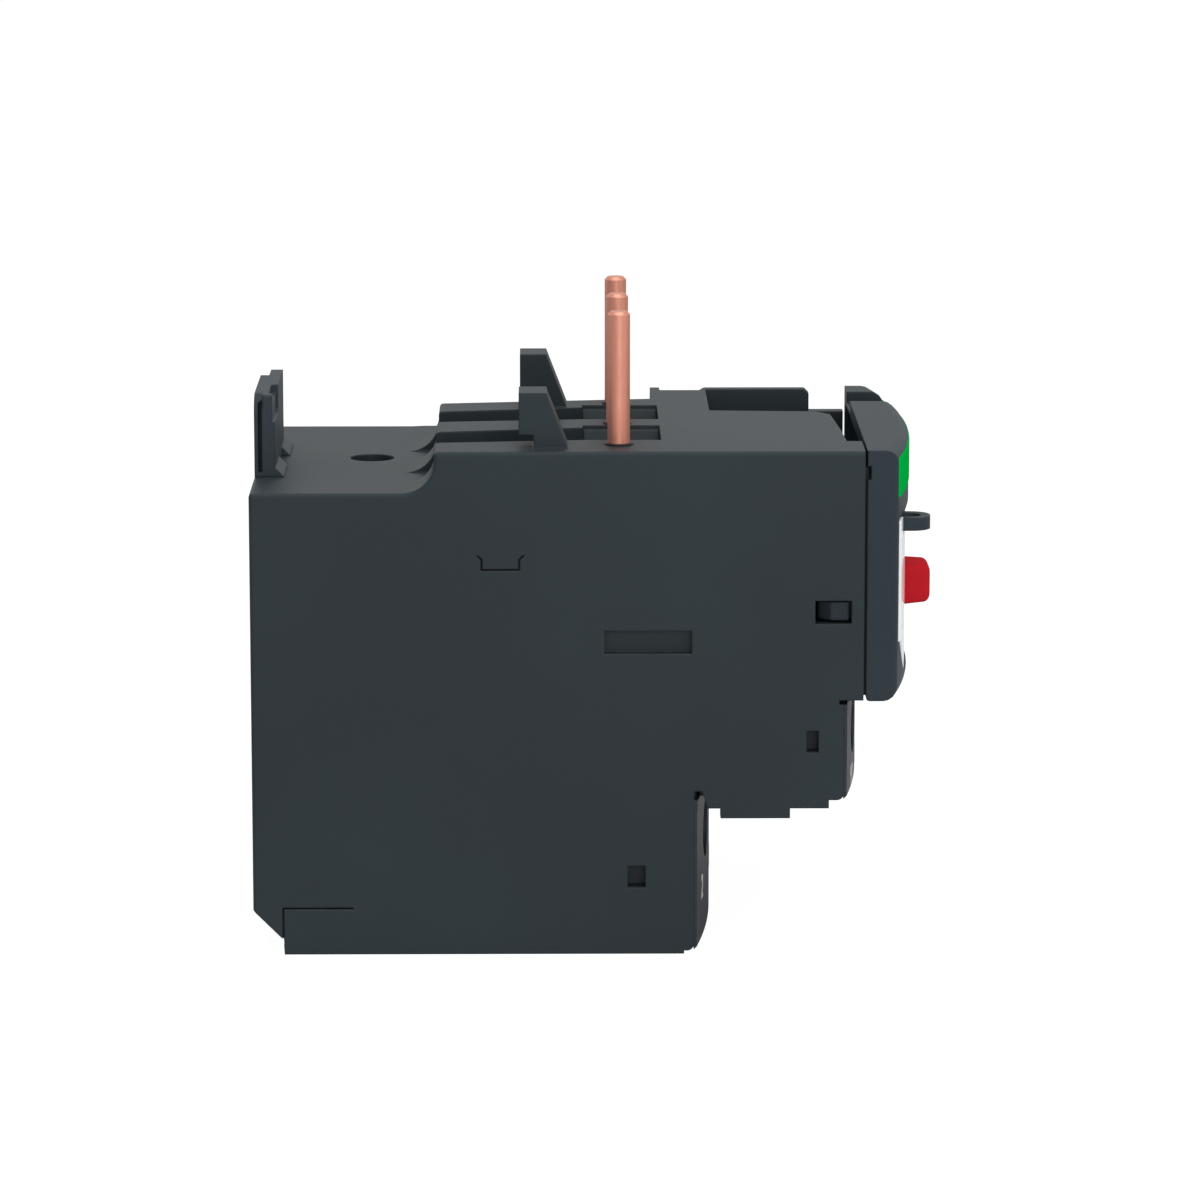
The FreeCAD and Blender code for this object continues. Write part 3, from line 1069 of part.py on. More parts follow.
def make_stop_button():
    """Red button: a drafted cap with rounded front edges, and a stem through the frame."""
    body = new_body("stop_button")
    back = s.cover_back - 1.2
    cap = sketch_on(body, "stop_cap_front", "XZ_Plane", back - rear_y)
    rectangle(cap, (s.stop_x - s.stop_width / 2, s.stop_x + s.stop_width / 2),
              (s.stop_z - s.stop_height / 2, s.stop_z + s.stop_height / 2))
    pad(body, "stop_cap", cap, s.overall_depth - back)
    front_y = y_at(s.overall_depth)
    fillet(body, "stop_soft_front", 0.8, lambda edge: edge_at(edge, y=front_y))
    stem = sketch_on(body, "stop_stem_front", "XZ_Plane", s.frame_back - 0.6 - rear_y)
    stem.addGeometry(Part.Circle(Vector(float(s.stop_x), float(s.stop_z), 0), Vector(0, 0, 1),
                                 float(s.stem_radius)), False)
    pad(body, "stop_stem", stem, back - s.frame_back + 1.0)
    keep("stop_button", body)
    make_spring("stop_spring", s.stop_x, s.stop_z, (s.frame_back + s.frame_skin + 0.05, back - 0.05), 5)


def make_reset():
    back = s.cover_back - 1.4
    cap = level_rod("reset_cap", s.reset_x, s.reset_z, (back, s.reset_tip), s.reset_radius)
    stem = level_rod("reset_stem", s.reset_x, s.reset_z, (s.frame_back - 0.6, back + 0.2), s.stem_radius)
    blank = fused("reset_blank", [cap, stem])
    doc.recompute()
    soft = doc.addObject("Part::Chamfer", "reset_soft")
    soft.Base = blank
    rims = [index + 1 for index, edge in enumerate(blank.Shape.Edges) if edge_at(edge, y=y_at(s.reset_tip))]
    soft.Edges = [(rim, 0.4, 0.4) for rim in rims]
    keep("reset_button", soft)
    make_spring("reset_spring", s.reset_x, s.reset_z, (s.frame_back + s.frame_skin + 0.05, back - 0.05), 5)
    front = s.plate_crest - 0.2
    knob = level_rod("selector_knob", s.reset_x, s.selector_z, (s.cover_back - 1.3, front), s.selector_radius)
    shaft = level_rod("selector_shaft", s.reset_x, s.selector_z, (s.frame_back - 0.6, s.cover_back - 1.1),
                      s.stem_radius)
    shoulder = level_rod("selector_shoulder", s.reset_x, s.selector_z,
                         (s.frame_back + s.frame_skin + 0.2, s.cover_back - 1.1),
                         s.stem_radius + 0.5)
    slot = block("selector_slot", (s.reset_x - 1.7, s.reset_x + 1.7), (front - 1.0, front + 1.0),
                 (s.selector_z - 0.35, s.selector_z + 0.35))
    keep("reset_selector", cut_from("reset_selector", fused("selector_blank", [knob, shaft, shoulder]), [slot]))


def make_test_slide():
    front = s.plate_crest - 0.1
    parts = [block("test_tab", (s.test_x - 1.0, s.test_x + 1.0), (s.plate_crest - 3.1, front), (s.test_z - 0.9, s.test_z + 0.9)),
             block("test_bar", (s.test_x - 0.5, s.test_x + 0.5), (s.frame_back - 0.6, s.plate_crest - 2.9),
                   (s.test_z - 0.5, s.test_z + 0.5)),
             block("test_foot", (s.test_x - 1.2, s.test_x + 1.2),
                   (s.frame_back + s.frame_skin + 0.2, s.frame_back + s.frame_skin + 1.4),
                   (s.test_z - 1.2, s.test_z + 1.2))]
    keep("test_slide", fused("test_slide", parts))


def make_trip_parts():
    rail = s.frame_back + s.frame_skin
    foot = block("flag_foot", (s.flag_x - 0.6, s.flag_x + 2.2), (rail + 0.3, rail + 2.6),
                 (s.test_z - 1.6, s.test_z - 0.6))
    post = block("flag_post", (s.flag_x + 1.0, s.flag_x + 2.2), (rail + 0.8, s.plate_crest - 2.2), (s.test_z - 1.1, s.test_z + 1.1))
    keep("trip_flag", fused("trip_flag", [foot, post]))

    hub = upright_rod("lever_hub", s.lever_x, s.lever_depth, (40.3, 44.3), 2.1)
    front_arm = block("lever_front_arm", (s.lever_x - 0.7, s.lever_x + 0.7), (s.lever_depth, s.aux_plate + 2.8), (42.3, 44.2))
    finger = block("lever_finger", (s.lever_x - 0.7, s.lever_x + 0.7), (s.aux_plate + 0.4, s.aux_plate + 2.8), (40.3, 43.0))
    socket = block("lever_socket", (s.lever_x - 1.1, s.lever_x + 1.1), (38.4, s.lever_depth), (40.3, 43.4))
    hole = upright_rod("lever_hole", s.lever_x, s.lever_depth, (39.0, 46.0), s.lever_pin + s.screw_room)
    groove = block("lever_groove", (s.lever_x - 0.4, s.lever_x + 0.4), (37.0, 40.0), (40.5, 44.0))
    keep("trip_lever", cut_from("trip_lever", fused("trip_lever_blank", [hub, front_arm, finger, socket]), [hole, groove]))
    blade = block("compensating_blade", (s.lever_x - 0.4, s.lever_x + 0.4),
                  (s.bimetal_depth - 1.5, 40.0), (40.5, 43.0))
    keep("compensating_blade", blade)
    keep("lever_pivot_pin", upright_rod("lever_pivot_pin", s.lever_x, s.lever_depth, (37.5, 46.9), s.lever_pin))

    push = s.lever_x - 0.4 - 0.15
    for name, depths, turn in (("slider_bar", (20.9, 22.7), 1), ("differential_bar", (11.3, 13.1), -1)):
        end = push if turn > 0 else push - 1.6
        parts = [block(name + "_rail", (pin_x(0) - 1.2, end), depths, (40.2, 42.0))]
        inner = (s.bimetal_depth - 1.5, depths[0] + 0.3) if turn > 0 else (depths[1] - 0.3, s.bimetal_depth + 1.5)
        for pole in pole_numbers:
            lost_motion = 0.15 if turn > 0 else s.slider_travel + 0.15
            face = chamber_centre(pole) + turn * (s.bimetal_skin / 2 + lost_motion)
            across = (face, face + 1.2) if turn > 0 else (face - 1.2, face)
            parts.append(block("%s_finger_%d" % (name, pole), across, inner, (40.2, 42.0)))
        if turn > 0:
            parts.append(block(name + "_nose", (push - 1.6, push), (s.bimetal_depth + 1.5, depths[0] + 0.3),
                               (40.2, 42.0)))
        keep(name, fused(name, parts))

    bar = block("bridge_bar", (aux_x(0) - 1.4, s.lever_x - 0.7 - 0.15), (s.aux_plate + 1.1, s.aux_plate + 2.7), (40.3, 42.3))
    keep("contact_bridge", bar)
    blades = [block("contact_blade_%d" % pair, (aux_x(2 * pair) - 0.3, aux_x(2 * pair + 1) + 0.3), (s.aux_plate + 0.15, s.aux_plate + 1.1),
                    (40.6, 42.0)) for pair in (0, 1)]
    keep("contact_blades", fused("contact_blades", blades))


make_frame()
make_dial()
make_stop_button()
make_reset()
make_test_slide()
make_trip_parts()


doc.recompute()
for thing in doc.Objects:
    if "Invalid" in thing.State or "Error" in thing.State:
        raise RuntimeError("%s is %s" % (thing.Name, thing.State))
os.makedirs("parts", exist_ok=True)
for name, thing in nodes.items():
    if thing.Shape.isNull() or not thing.Shape.isValid() or not thing.Shape.Solids:
        raise RuntimeError("bad shape: " + name)
    thing.Shape.exportStep(os.path.join("parts", name + ".step"))
    print("%-22s %d solid(s) %9.1f mm3" % (name, len(thing.Shape.Solids), thing.Shape.Volume))
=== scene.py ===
import bmesh
import bpy
import json
import math
import numpy as np
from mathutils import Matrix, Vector


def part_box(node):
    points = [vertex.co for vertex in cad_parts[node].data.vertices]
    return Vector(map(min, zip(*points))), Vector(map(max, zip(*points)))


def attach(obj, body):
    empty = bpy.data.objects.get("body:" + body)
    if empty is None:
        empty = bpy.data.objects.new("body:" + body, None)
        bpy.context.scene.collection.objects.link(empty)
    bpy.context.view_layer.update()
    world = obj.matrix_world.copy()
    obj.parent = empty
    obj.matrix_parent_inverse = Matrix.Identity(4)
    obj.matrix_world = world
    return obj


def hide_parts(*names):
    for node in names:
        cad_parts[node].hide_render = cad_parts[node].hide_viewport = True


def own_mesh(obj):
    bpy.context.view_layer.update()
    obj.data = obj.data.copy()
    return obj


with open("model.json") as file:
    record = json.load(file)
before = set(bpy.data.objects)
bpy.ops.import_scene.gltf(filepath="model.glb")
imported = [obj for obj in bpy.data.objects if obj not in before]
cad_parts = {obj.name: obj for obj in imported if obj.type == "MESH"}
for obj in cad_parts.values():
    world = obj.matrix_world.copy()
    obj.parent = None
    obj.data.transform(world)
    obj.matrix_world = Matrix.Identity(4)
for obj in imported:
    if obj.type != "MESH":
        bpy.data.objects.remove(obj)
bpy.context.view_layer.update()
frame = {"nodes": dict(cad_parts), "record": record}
nodes = frame["nodes"]

# A plug-in thermal overload relay: dark moulded housing, three copper pins, a crowned front
# cover with a white setting plate, a clear flap, a red stop button and a blue reset button.
# Shapes are worked out in millimetres: x across, z up, depth forwards from the rear face.

mm = 0.001
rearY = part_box("housing_case")[1][1]        # the flat rear face, in metres
print("frame loaded:", len(nodes), "CAD nodes")


# How materials are written: a Wire is one socket, a Finish is one material or the world.

class Wire:
    def __init__(self, finish, socket):
        self.finish = finish
        self.socket = socket

    def worked(self, operation, *values):
        return self.finish.node("ShaderNodeMath", {"operation": operation}, dict(enumerate(values)))

    def __add__(self, other):
        return self.worked("ADD", self, other)

    def __radd__(self, other):
        return self.worked("ADD", other, self)

    def __sub__(self, other):
        return self.worked("SUBTRACT", self, other)

    def __rsub__(self, other):
        return self.worked("SUBTRACT", other, self)

    def __mul__(self, other):
        return self.worked("MULTIPLY", self, other)

    def __rmul__(self, other):
        return self.worked("MULTIPLY", other, self)

    def clamped(self):
        return self.worked("MINIMUM", self.worked("MAXIMUM", self, 0.0), 1.0)

    def ramp(self, low, high):                # 0 below low, 1 above high, smooth between
        return self.finish.node("ShaderNodeMapRange", {"interpolation_type": "SMOOTHSTEP"},
                                {"Value": self, "From Min": low, "From Max": high})


class Finish:
    def __init__(self, owner):
        self.owner = owner
        owner.use_nodes = True
        self.tree = owner.node_tree
        self.tree.nodes.clear()

    def node(self, kind, settings=None, inputs=None, output=0):
        made = self.tree.nodes.new(kind)
        for key, value in (settings or {}).items():
            setattr(made, key, value)
        for key, value in (inputs or {}).items():
            if isinstance(value, Wire):
                self.tree.links.new(value.socket, made.inputs[key])
            else:
                made.inputs[key].default_value = value
        return Wire(self, made.outputs[output]) if len(made.outputs) else None

    def noise(self, perMillimetre, detail=2.0, roughness=0.5, stretch=(1, 1, 1)):
        place = self.node("ShaderNodeTexCoord", output="Object")
        spread = self.node("ShaderNodeMapping", {}, {"Vector": place, "Scale": stretch})
        return self.node("ShaderNodeTexNoise", {}, {"Vector": spread, "Scale": perMillimetre / mm,
                                                    "Detail": detail, "Roughness": roughness})

    def mixed(self, factor, first, second):    # colours, never through Math
        return self.node("ShaderNodeMix", {"data_type": "RGBA"}, {0: factor, 6: first, 7: second}, 2)

    def agreement(self, first, second):        # of two directions: 1 the same, 0 square to each other
        return self.node("ShaderNodeVectorMath", {"operation": "DOT_PRODUCT"}, {0: first, 1: second},
                         "Value")

    def bump(self, height, distance, normal=None, strength=1.0):
        inputs = {"Height": height, "Distance": distance, "Strength": strength}
        if normal is not None:
            inputs["Normal"] = normal
        return self.node("ShaderNodeBump", {}, inputs)

    def softEdge(self, radius):                # normals turned as on an edge of that radius
        return self.node("ShaderNodeBevel", {"samples": 6}, {"Radius": radius})

    def edgeMask(self, rounded):               # 1 near edges, 0 on flats
        flat = self.node("ShaderNodeNewGeometry", output="Normal")
        return (1.0 - self.agreement(rounded, flat)).ramp(0.01, 0.2)

    def shaded(self, **inputs):                # closes the material with one Principled shader
        named = {key.replace("_", " "): value for key, value in inputs.items()}
        shader = self.node("ShaderNodeBsdfPrincipled", {}, named)
        self.node("ShaderNodeOutputMaterial", {}, {"Surface": shader})
        return self.owner


def colour(red, green, blue):                  # screen values 0..255 to the linear values of a socket
    shares = [value / 255 for value in (red, green, blue)]
    return (*[((v + 0.055) / 1.055) ** 2.4 if v > 0.04 else v / 12.92 for v in shares], 1.0)


def toned(tone, factor, lift=0.0):             # a darker or lighter tone of a colour
    return (*[min(1.0, value * factor + lift) for value in tone[:3]], 1.0)


def mouldedPlastic(name, tone, grain=1.0, gloss=0.5, edge=0.3, sheen=0.17):
    # cloudy tone and fine grain, with edges that handling has rubbed paler and smoother
    finish = Finish(bpy.data.materials.new(name))
    cloud = finish.noise(0.03, 3.0)
    speck = finish.noise(5.0, 2.0, 0.6)
    base = finish.mixed(cloud.ramp(0.35, 0.65), toned(tone, 0.93), toned(tone, 1.08))
    rounded = finish.softEdge(edge * mm)
    rub = finish.edgeMask(rounded) * finish.noise(0.4, 2.0).ramp(0.3, 0.7)
    base = finish.mixed(rub * 0.35, base, toned(tone, 1.25, 0.01))
    rough = gloss + 0.10 * (cloud - 0.5) + 0.08 * (speck - 0.5) - 0.10 * rub
    normal = finish.bump(speck, 0.010 * mm * grain, rounded, 0.55)
    return finish.shaded(Base_Color=base, Roughness=rough, Normal=normal, Specular_IOR_Level=sheen)


def smoothPlastic(name, tone, gloss, edge=0.2, sheen=0.35, **more):
    # nearly even tone, with light scuffs
    finish = Finish(bpy.data.materials.new(name))
    cloud = finish.noise(0.05, 2.0)
    base = finish.mixed(cloud, tone, toned(tone, 1.06))
    rounded = finish.softEdge(edge * mm)
    scuff = finish.noise(0.6, 4.0, 0.7, (1, 1, 4)).ramp(0.55, 0.8)
    rough = gloss + 0.12 * scuff + 0.05 * (cloud - 0.5)
    normal = finish.bump(finish.noise(1.2, 3.0), 0.004 * mm, rounded, 0.4)
    return finish.shaded(Base_Color=base, Roughness=rough, Normal=normal, Specular_IOR_Level=sheen,
                         **more)


def drawnMetal(name, tone, tarnish, shine=0.95, stretch=(4, 4, 4), gloss=0.3):
    # lines left by drawing or rolling, and patches of tarnish
    finish = Finish(bpy.data.materials.new(name))
    line = finish.noise(3.0, 3.0, 0.6, stretch)
    stain = finish.noise(0.25, 3.0, 0.6).ramp(0.4, 0.75)
    base = finish.mixed(stain * 0.5, tone, tarnish)
    rounded = finish.softEdge(0.12 * mm)
    rough = gloss + 0.16 * (line - 0.5) + 0.12 * stain
    normal = finish.bump(line, 0.004 * mm, rounded, 0.5)
    return finish.shaded(Base_Color=base, Roughness=rough, Normal=normal, Metallic=shine)


def clearPlastic(name):
    # clear from the front, white at a low angle as a painted reflection, and milky on its cut edges; a faint
    # painted white glow all over
    finish = Finish(bpy.data.materials.new(name))
    haze = finish.noise(0.5, 4.0, 0.6, (1, 1, 3)).ramp(0.5, 0.8)
    grazingReflection = finish.node("ShaderNodeLayerWeight", {}, {"Blend": 0.5}, "Facing")
    forwards = finish.agreement(finish.node("ShaderNodeTexCoord", output="Normal"), (0, -1, 0))
    cutEdge = 1.0 - (forwards * forwards).ramp(0.3, 0.7)
    rough = 0.04 + 0.10 * haze
    alpha = (0.035 + 0.04 * haze + 0.9 * grazingReflection.ramp(0.45, 0.88) + 0.8 * cutEdge).clamped()
    # the emission is a painted glow that lightens the pane
    return finish.shaded(Base_Color=(0.97, 0.98, 0.99, 1), Roughness=rough, Alpha=alpha,
                         Specular_IOR_Level=0.2, Emission_Color=(1, 1, 1, 1), Emission_Strength=0.12)


def wovenSleeve(name, tone, ribbon):           # glass sleeve with the metal ribbon's sheen in bands
    finish = Finish(bpy.data.materials.new(name))
    weave = finish.noise(6.0, 1.0, 0.5, (1, 1, 0.5))
    base = finish.mixed(weave.ramp(0.35, 0.65), tone, ribbon)
    return finish.shaded(Base_Color=base, Roughness=0.5 + 0.3 * (weave - 0.5),
                         Normal=finish.bump(weave, 0.02 * mm, strength=0.6))


slateMould = mouldedPlastic("slateMould", colour(43, 52, 56))
slateCover = mouldedPlastic("slateCover", colour(47, 56, 62), grain=0.8, edge=0.35, sheen=0.13)
# a lighter copy of the housing's plastic for the rear hook: painted light that brightens the hook
slateHookLit = mouldedPlastic("slateHookLit", colour(52, 61, 67), grain=0.8, sheen=0.13)
slateBlock = mouldedPlastic("slateBlock", colour(48, 54, 60), gloss=0.48, sheen=0.2)
# innerDark: dark inner parts, and also the painted shade of the seam strips and the pin holes
innerDark = mouldedPlastic("innerDark", colour(30, 32, 34), grain=0.6)
# near-black plastic that paints the shade in the gaps between the head and the tier
gapShade = mouldedPlastic("gapShade", colour(8, 9, 10), grain=0.6, gloss=0.8, edge=0.1, sheen=0.0)
whitePlate = smoothPlastic("whitePlate", colour(228, 231, 232), gloss=0.38)
whitePart = smoothPlastic("whitePart", colour(222, 222, 216), gloss=0.35)
greyDial = smoothPlastic("greyDial", colour(190, 194, 196), gloss=0.34)
stopRed = smoothPlastic("stopRed", colour(188, 34, 42), gloss=0.5, edge=0.3, sheen=0.0,
                        Sheen_Weight=0.5, Sheen_Roughness=0.35, Sheen_Tint=(0.95, 0.08, 0.1, 1))
resetBlue = smoothPlastic("resetBlue", colour(24, 84, 160), gloss=0.27, edge=0.3)
labelGreen = smoothPlastic("labelGreen", colour(0, 184, 74), gloss=0.6, sheen=0.0)
markWhite = smoothPlastic("markWhite", colour(226, 228, 228), gloss=0.5)
markDark = smoothPlastic("markDark", colour(48, 52, 56), gloss=0.5)
clearFlap = clearPlastic("clearFlap")
copperPin = drawnMetal("copperPin", colour(216, 146, 125), tarnish=colour(202, 130, 109), shine=0.6,
                       stretch=(8, 8, 0.6), gloss=0.42)
copperBar = drawnMetal("copperBar", colour(198, 124, 96), tarnish=colour(150, 88, 66), shine=0.9,
                       stretch=(1, 6, 6), gloss=0.32)
zincSteel = drawnMetal("zincSteel", colour(178, 180, 178), tarnish=colour(140, 140, 132))
brassStrip = drawnMetal("brassStrip", colour(205, 172, 108), tarnish=colour(160, 130, 80),
                        stretch=(6, 6, 1))
bimetalStrip = drawnMetal("bimetalStrip", colour(168, 160, 148), tarnish=colour(130, 110, 90),
                          shine=0.9, stretch=(6, 6, 1), gloss=0.36)
pressBoard = mouldedPlastic("pressBoard", colour(142, 104, 70), grain=2.0, gloss=0.7)
glassSleeve = wovenSleeve("glassSleeve", colour(190, 178, 150), colour(150, 138, 120))

finishes = {                                   # by the record's material slots
    "housing": slateMould, "block": slateBlock, "cover": slateCover, "plate": whitePlate,
    "clear": clearFlap, "red": stopRed, "blue": resetBlue, "dial": greyDial, "white_part": whitePart,
    "inner_dark": innerDark, "slider": pressBoard, "steel": zincSteel, "screw": zincSteel,
    "copper": copperBar, "bimetal": bimetalStrip, "heater": glassSleeve, "spring": zincSteel,
    "contact": brassStrip,
}
ownFinishes = {"contact_pin": copperPin, "rear_hook": slateHookLit}      # by how a node's name starts
slotOf = {part["node"]: part["material_slot"] for part in frame["record"]["subparts"]}
for name, thing in nodes.items():
    own = [finish for start, finish in ownFinishes.items() if name.startswith(start)]
    thing.data.materials.clear()
    thing.data.materials.append(own[0] if own else finishes[slotOf[name]])
print("finishes on all CAD nodes")


# How new pieces are made: points worked out on a grid go into a mesh in one step.

def nodeBox(node):                             # a CAD node's lowest and highest corners
    return [np.array(corner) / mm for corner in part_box(node)]


def placeOf(node):                             # a CAD node's middle across and up, front depth and rear depth
    low, high = nodeBox(node)
    return (low[0] + high[0]) / 2, (low[2] + high[2]) / 2, rearY / mm - low[1], rearY / mm - high[1]


def spot(x, depth, z):                         # millimetres to a point of the frame
    x, depth, z = np.broadcast_arrays(x, depth, z)
    return np.stack([x * mm, rearY - depth * mm, z * mm], axis=-1)


def crown(crest, radius, x):
    # depth of an upright cylinder's surface: its axis plus the root of radius squared less x squared
    return crest - radius + np.sqrt(radius ** 2 - np.asarray(x, float) ** 2)


def crownedFace(crest, radius):                # the same as a surface of x and z
    return lambda x, z: crown(crest, radius, x) + 0 * z


def evenAngles(count):
    return np.arange(count) * 2 * np.pi / count


quarter = np.radians(np.linspace(0, 90, 7))    # the steps of a quarter turn, for small roundings
creaseAngle = math.radians(35)                 # sharper edges than this stay sharp


def finishedPiece(name, mesh, body, material, slot, replaced=()):
    shape = bmesh.new()
    shape.from_mesh(mesh)
    bmesh.ops.remove_doubles(shape, verts=shape.verts, dist=1e-7)
    bmesh.ops.recalc_face_normals(shape, faces=shape.faces)
    shape.to_mesh(mesh)
    shape.free()
    mesh.polygons.foreach_set("use_smooth", np.ones(len(mesh.polygons), dtype=bool))
    mesh.set_sharp_from_angle(angle=creaseAngle)
    mesh.materials.clear()
    mesh.materials.append(material)
    piece = bpy.data.objects.new(name, mesh)
    bpy.context.scene.collection.objects.link(piece)
    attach(piece, body)
    if replaced:
        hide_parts(*replaced)
    return piece


def pieceFrom(name, points, *settings, **more):
    # points are rows of closed rings; a face joins each four neighbours, round the ring and to the next row
    rows, columns = points.shape[:2]
    index = np.arange(rows * columns).reshape(rows, columns)
    ahead = np.roll(index, -1, axis=1)
    faces = np.stack([index[:-1], ahead[:-1], ahead[1:], index[1:]], axis=-1).reshape(-1, 4)
    mesh = bpy.data.meshes.new(name)
    mesh.from_pydata(points.reshape(-1, 3).tolist(), [], faces.tolist())
    return finishedPiece(name, mesh, *settings, **more)


def cappedPiece(name, rings, *settings, farCap=True, **more):
    # the first ring, and with farCap also the last one, is closed on to its own middle
    rings = np.asarray(rings)
    middles = rings.mean(axis=1, keepdims=True)
    nearEnd, farEnd = (np.repeat(middles[[k]], rings.shape[1], axis=1) for k in (0, -1))
    points = [nearEnd, rings, farEnd] if farCap else [nearEnd, rings]
    return pieceFrom(name, np.concatenate(points), *settings, **more)


def turnedPiece(name, centre, rings, angles, *settings, **more):
    # a turned shape: each ring has a depth and a radius, and either may change with the angle round the axis
    depths = np.stack([np.broadcast_to(depth, angles.shape) for depth, radius in rings])
    radii = np.stack([np.broadcast_to(radius, angles.shape) for depth, radius in rings])
    points = spot(centre[0] + radii * np.cos(angles), depths, centre[1] + radii * np.sin(angles))
    return pieceFrom(name, points, *settings, **more)


def inlay(name, across, low, high, surface, lift, *settings, steps, deep=0.1):
    # a slab on a curved face: at each x its outline goes up the face from low to high and down behind it;
    # the end at the last x has no cap
    share = np.linspace(0, 1, steps)[None, :]
    x = across[:, None]
    low, high = (np.broadcast_to(level, across.shape)[:, None] for level in (low, high))
    z = low + share * (high - low)
    face = surface(x, z)
    rings = np.concatenate([spot(x, face + lift, z), spot(x, face - deep, z)[:, ::-1]], axis=1)
    return cappedPiece(name, rings, *settings, farCap=False)


def block(name, x, depth, z, *settings):       # a plain box from pairs of sides
    across, forwards = np.array(x)[[0, 1, 1, 0]], np.array(depth)[[0, 0, 1, 1]]
    return cappedPiece(name, [spot(across, forwards, level) for level in z], *settings)


figureShape = {"size": 1.42, "relief": 0.03, "smoothness": 3}         # the font's size per unit of height


def figures(name, text, height, x, z, surface, *settings):
    # plain figures, bent on to a face: each point keeps its place across and up, and its depth is the face's
    curve = bpy.data.curves.new(name, "FONT")
    curve.body, curve.size, curve.extrude = text, height * figureShape["size"], figureShape["relief"]
    curve.align_x, curve.align_y, curve.resolution_u = "CENTER", "CENTER", figureShape["smoothness"]
    drawn = bpy.data.objects.new(name + "_curve", curve)
    mesh = bpy.data.meshes.new_from_object(drawn)
    flat = np.empty(len(mesh.vertices) * 3)
    mesh.vertices.foreach_get("co", flat)
    flat = flat.reshape(-1, 3)
    across, up = x + flat[:, 0], z + flat[:, 1]
    mesh.vertices.foreach_set("co", spot(across, surface(across, up) + flat[:, 2], up).ravel())
    bpy.data.objects.remove(drawn)
    bpy.data.curves.remove(curve)
    return finishedPiece(name, mesh, *settings)


def crossReach(angles, long, short, half):
    # radius of a cross-shaped recess at each angle: the further out of two crossed bars
    c, s = np.abs(np.cos(angles)) + 1e-9, np.abs(np.sin(angles)) + 1e-9
    bars = [np.minimum(long / c, half / s)]
    if short:
        bars.append(np.minimum(short / s, half / c))
    return np.max(bars, axis=0)


def cornerAngles(count, *corners):             # even angles with the recess corners among them
    exact = [base + turn * a for a in corners for base in (0, np.pi) for turn in (1, -1)]
    return np.unique(np.round(np.concatenate([evenAngles(count), np.mod(exact, 2 * np.pi)]), 6))


# Terminal screws: cheese head, crossed slot, a real helical thread. The thread's radius is the shank's
# less the tooth times a saw, which is 1 where depth over pitch less the share of a turn is whole.

screwKinds = {
    "load": {"count": 3, "head": 2.35, "shank": 2.0, "pitch": 0.7, "tooth": 0.3, "long": 2.45, "short": 1.5,
             "half": 0.42, "recess": 1.2, "bevel": 0.3},
    "aux": {"count": 4, "head": 2.15, "shank": 1.6, "pitch": 0.5, "tooth": 0.24, "long": 2.25, "short": 1.3,
            "half": 0.38, "recess": 1.1, "bevel": 0.28},
}
screwShape = {"floorShare": 0.94, "lip": 0.06, "neckShare": 0.86, "ringsPerPitch": 8, "tip": 0.3,
              "tipShare": 0.6}
for kind, shape in screwKinds.items():
    long, short, half = shape["long"], shape["short"], shape["half"]
    shank, tooth, pitch, bevel = shape["shank"], shape["tooth"], shape["pitch"], shape["bevel"]
    angles = cornerAngles(72, math.atan2(half, long), math.atan2(half, half), math.atan2(short, half))
    reach = crossReach(angles, long, short, half)
    for number in range(1, shape["count"] + 1):
        node = "%s_screw_%d" % (kind, number)
        low, high = nodeBox(node)
        x, z, front, tip = placeOf(node)
        headRadius = (high[0] - low[0]) / 2
        under, slotFloor = front - shape["head"], front - shape["recess"]
        rings = [(slotFloor, 0), (slotFloor, reach * screwShape["floorShare"]),
                 (front - screwShape["lip"], reach), (front, reach + 0.05),
                 (front, headRadius - bevel - 0.08), (front - 0.08, headRadius - bevel + 0.05),
                 (front - bevel, headRadius - 0.03), (front - bevel - 0.12, headRadius),
                 (under + 0.1, headRadius), (under, headRadius - 0.1),
                 (under, shank * screwShape["neckShare"])]
        threadEnd = tip + screwShape["tip"]
        for depth in np.arange(under - 0.05, threadEnd + 0.05, -pitch / screwShape["ringsPerPitch"]):
            saw = np.abs(2 * np.mod(depth / pitch - angles / (2 * np.pi), 1) - 1)
            rings.append((depth, shank - tooth * saw))
        rings += [(threadEnd, shank - tooth), (tip, shank * screwShape["tipShare"]), (tip, 0)]
        turnedPiece(node + "_turned", (x, z), rings, angles, node, zincSteel, "screw", replaced=(node,))
print("screws turned")


# Painted shade: soft dark rings that close the holes round the pins' thicker feet, standing in for the holes'
# shade.

pinShadeShape = {"inner": 1.1, "outer": 1.38, "low": 51.2, "high": 52.54, "round": 0.08, "depth": 37.6}
inner, outer, low, high, bend = (pinShadeShape[key] for key in ("inner", "outer", "low", "high", "round"))
profile = [(inner, low), (inner, high), (outer - bend, high), (outer, high - bend), (outer, low),
           (inner, low)]
angles = evenAngles(48)
for number in range(1, 4):
    x, *_ = placeOf("contact_pin_%d" % number)
    rows = [spot(x + r * np.cos(angles), pinShadeShape["depth"] + r * np.sin(angles), z) for r, z in profile]
    pieceFrom("pin_hole_shade_%d" % number, np.stack(rows), "housing", innerDark, "inner_dark")
print("pin holes shaded")


# Current dial: knurled rim, blade slot and a pointer. The rim's radius falls by the knurl times the
# square of half of one plus the cosine of the knurls times the angle.

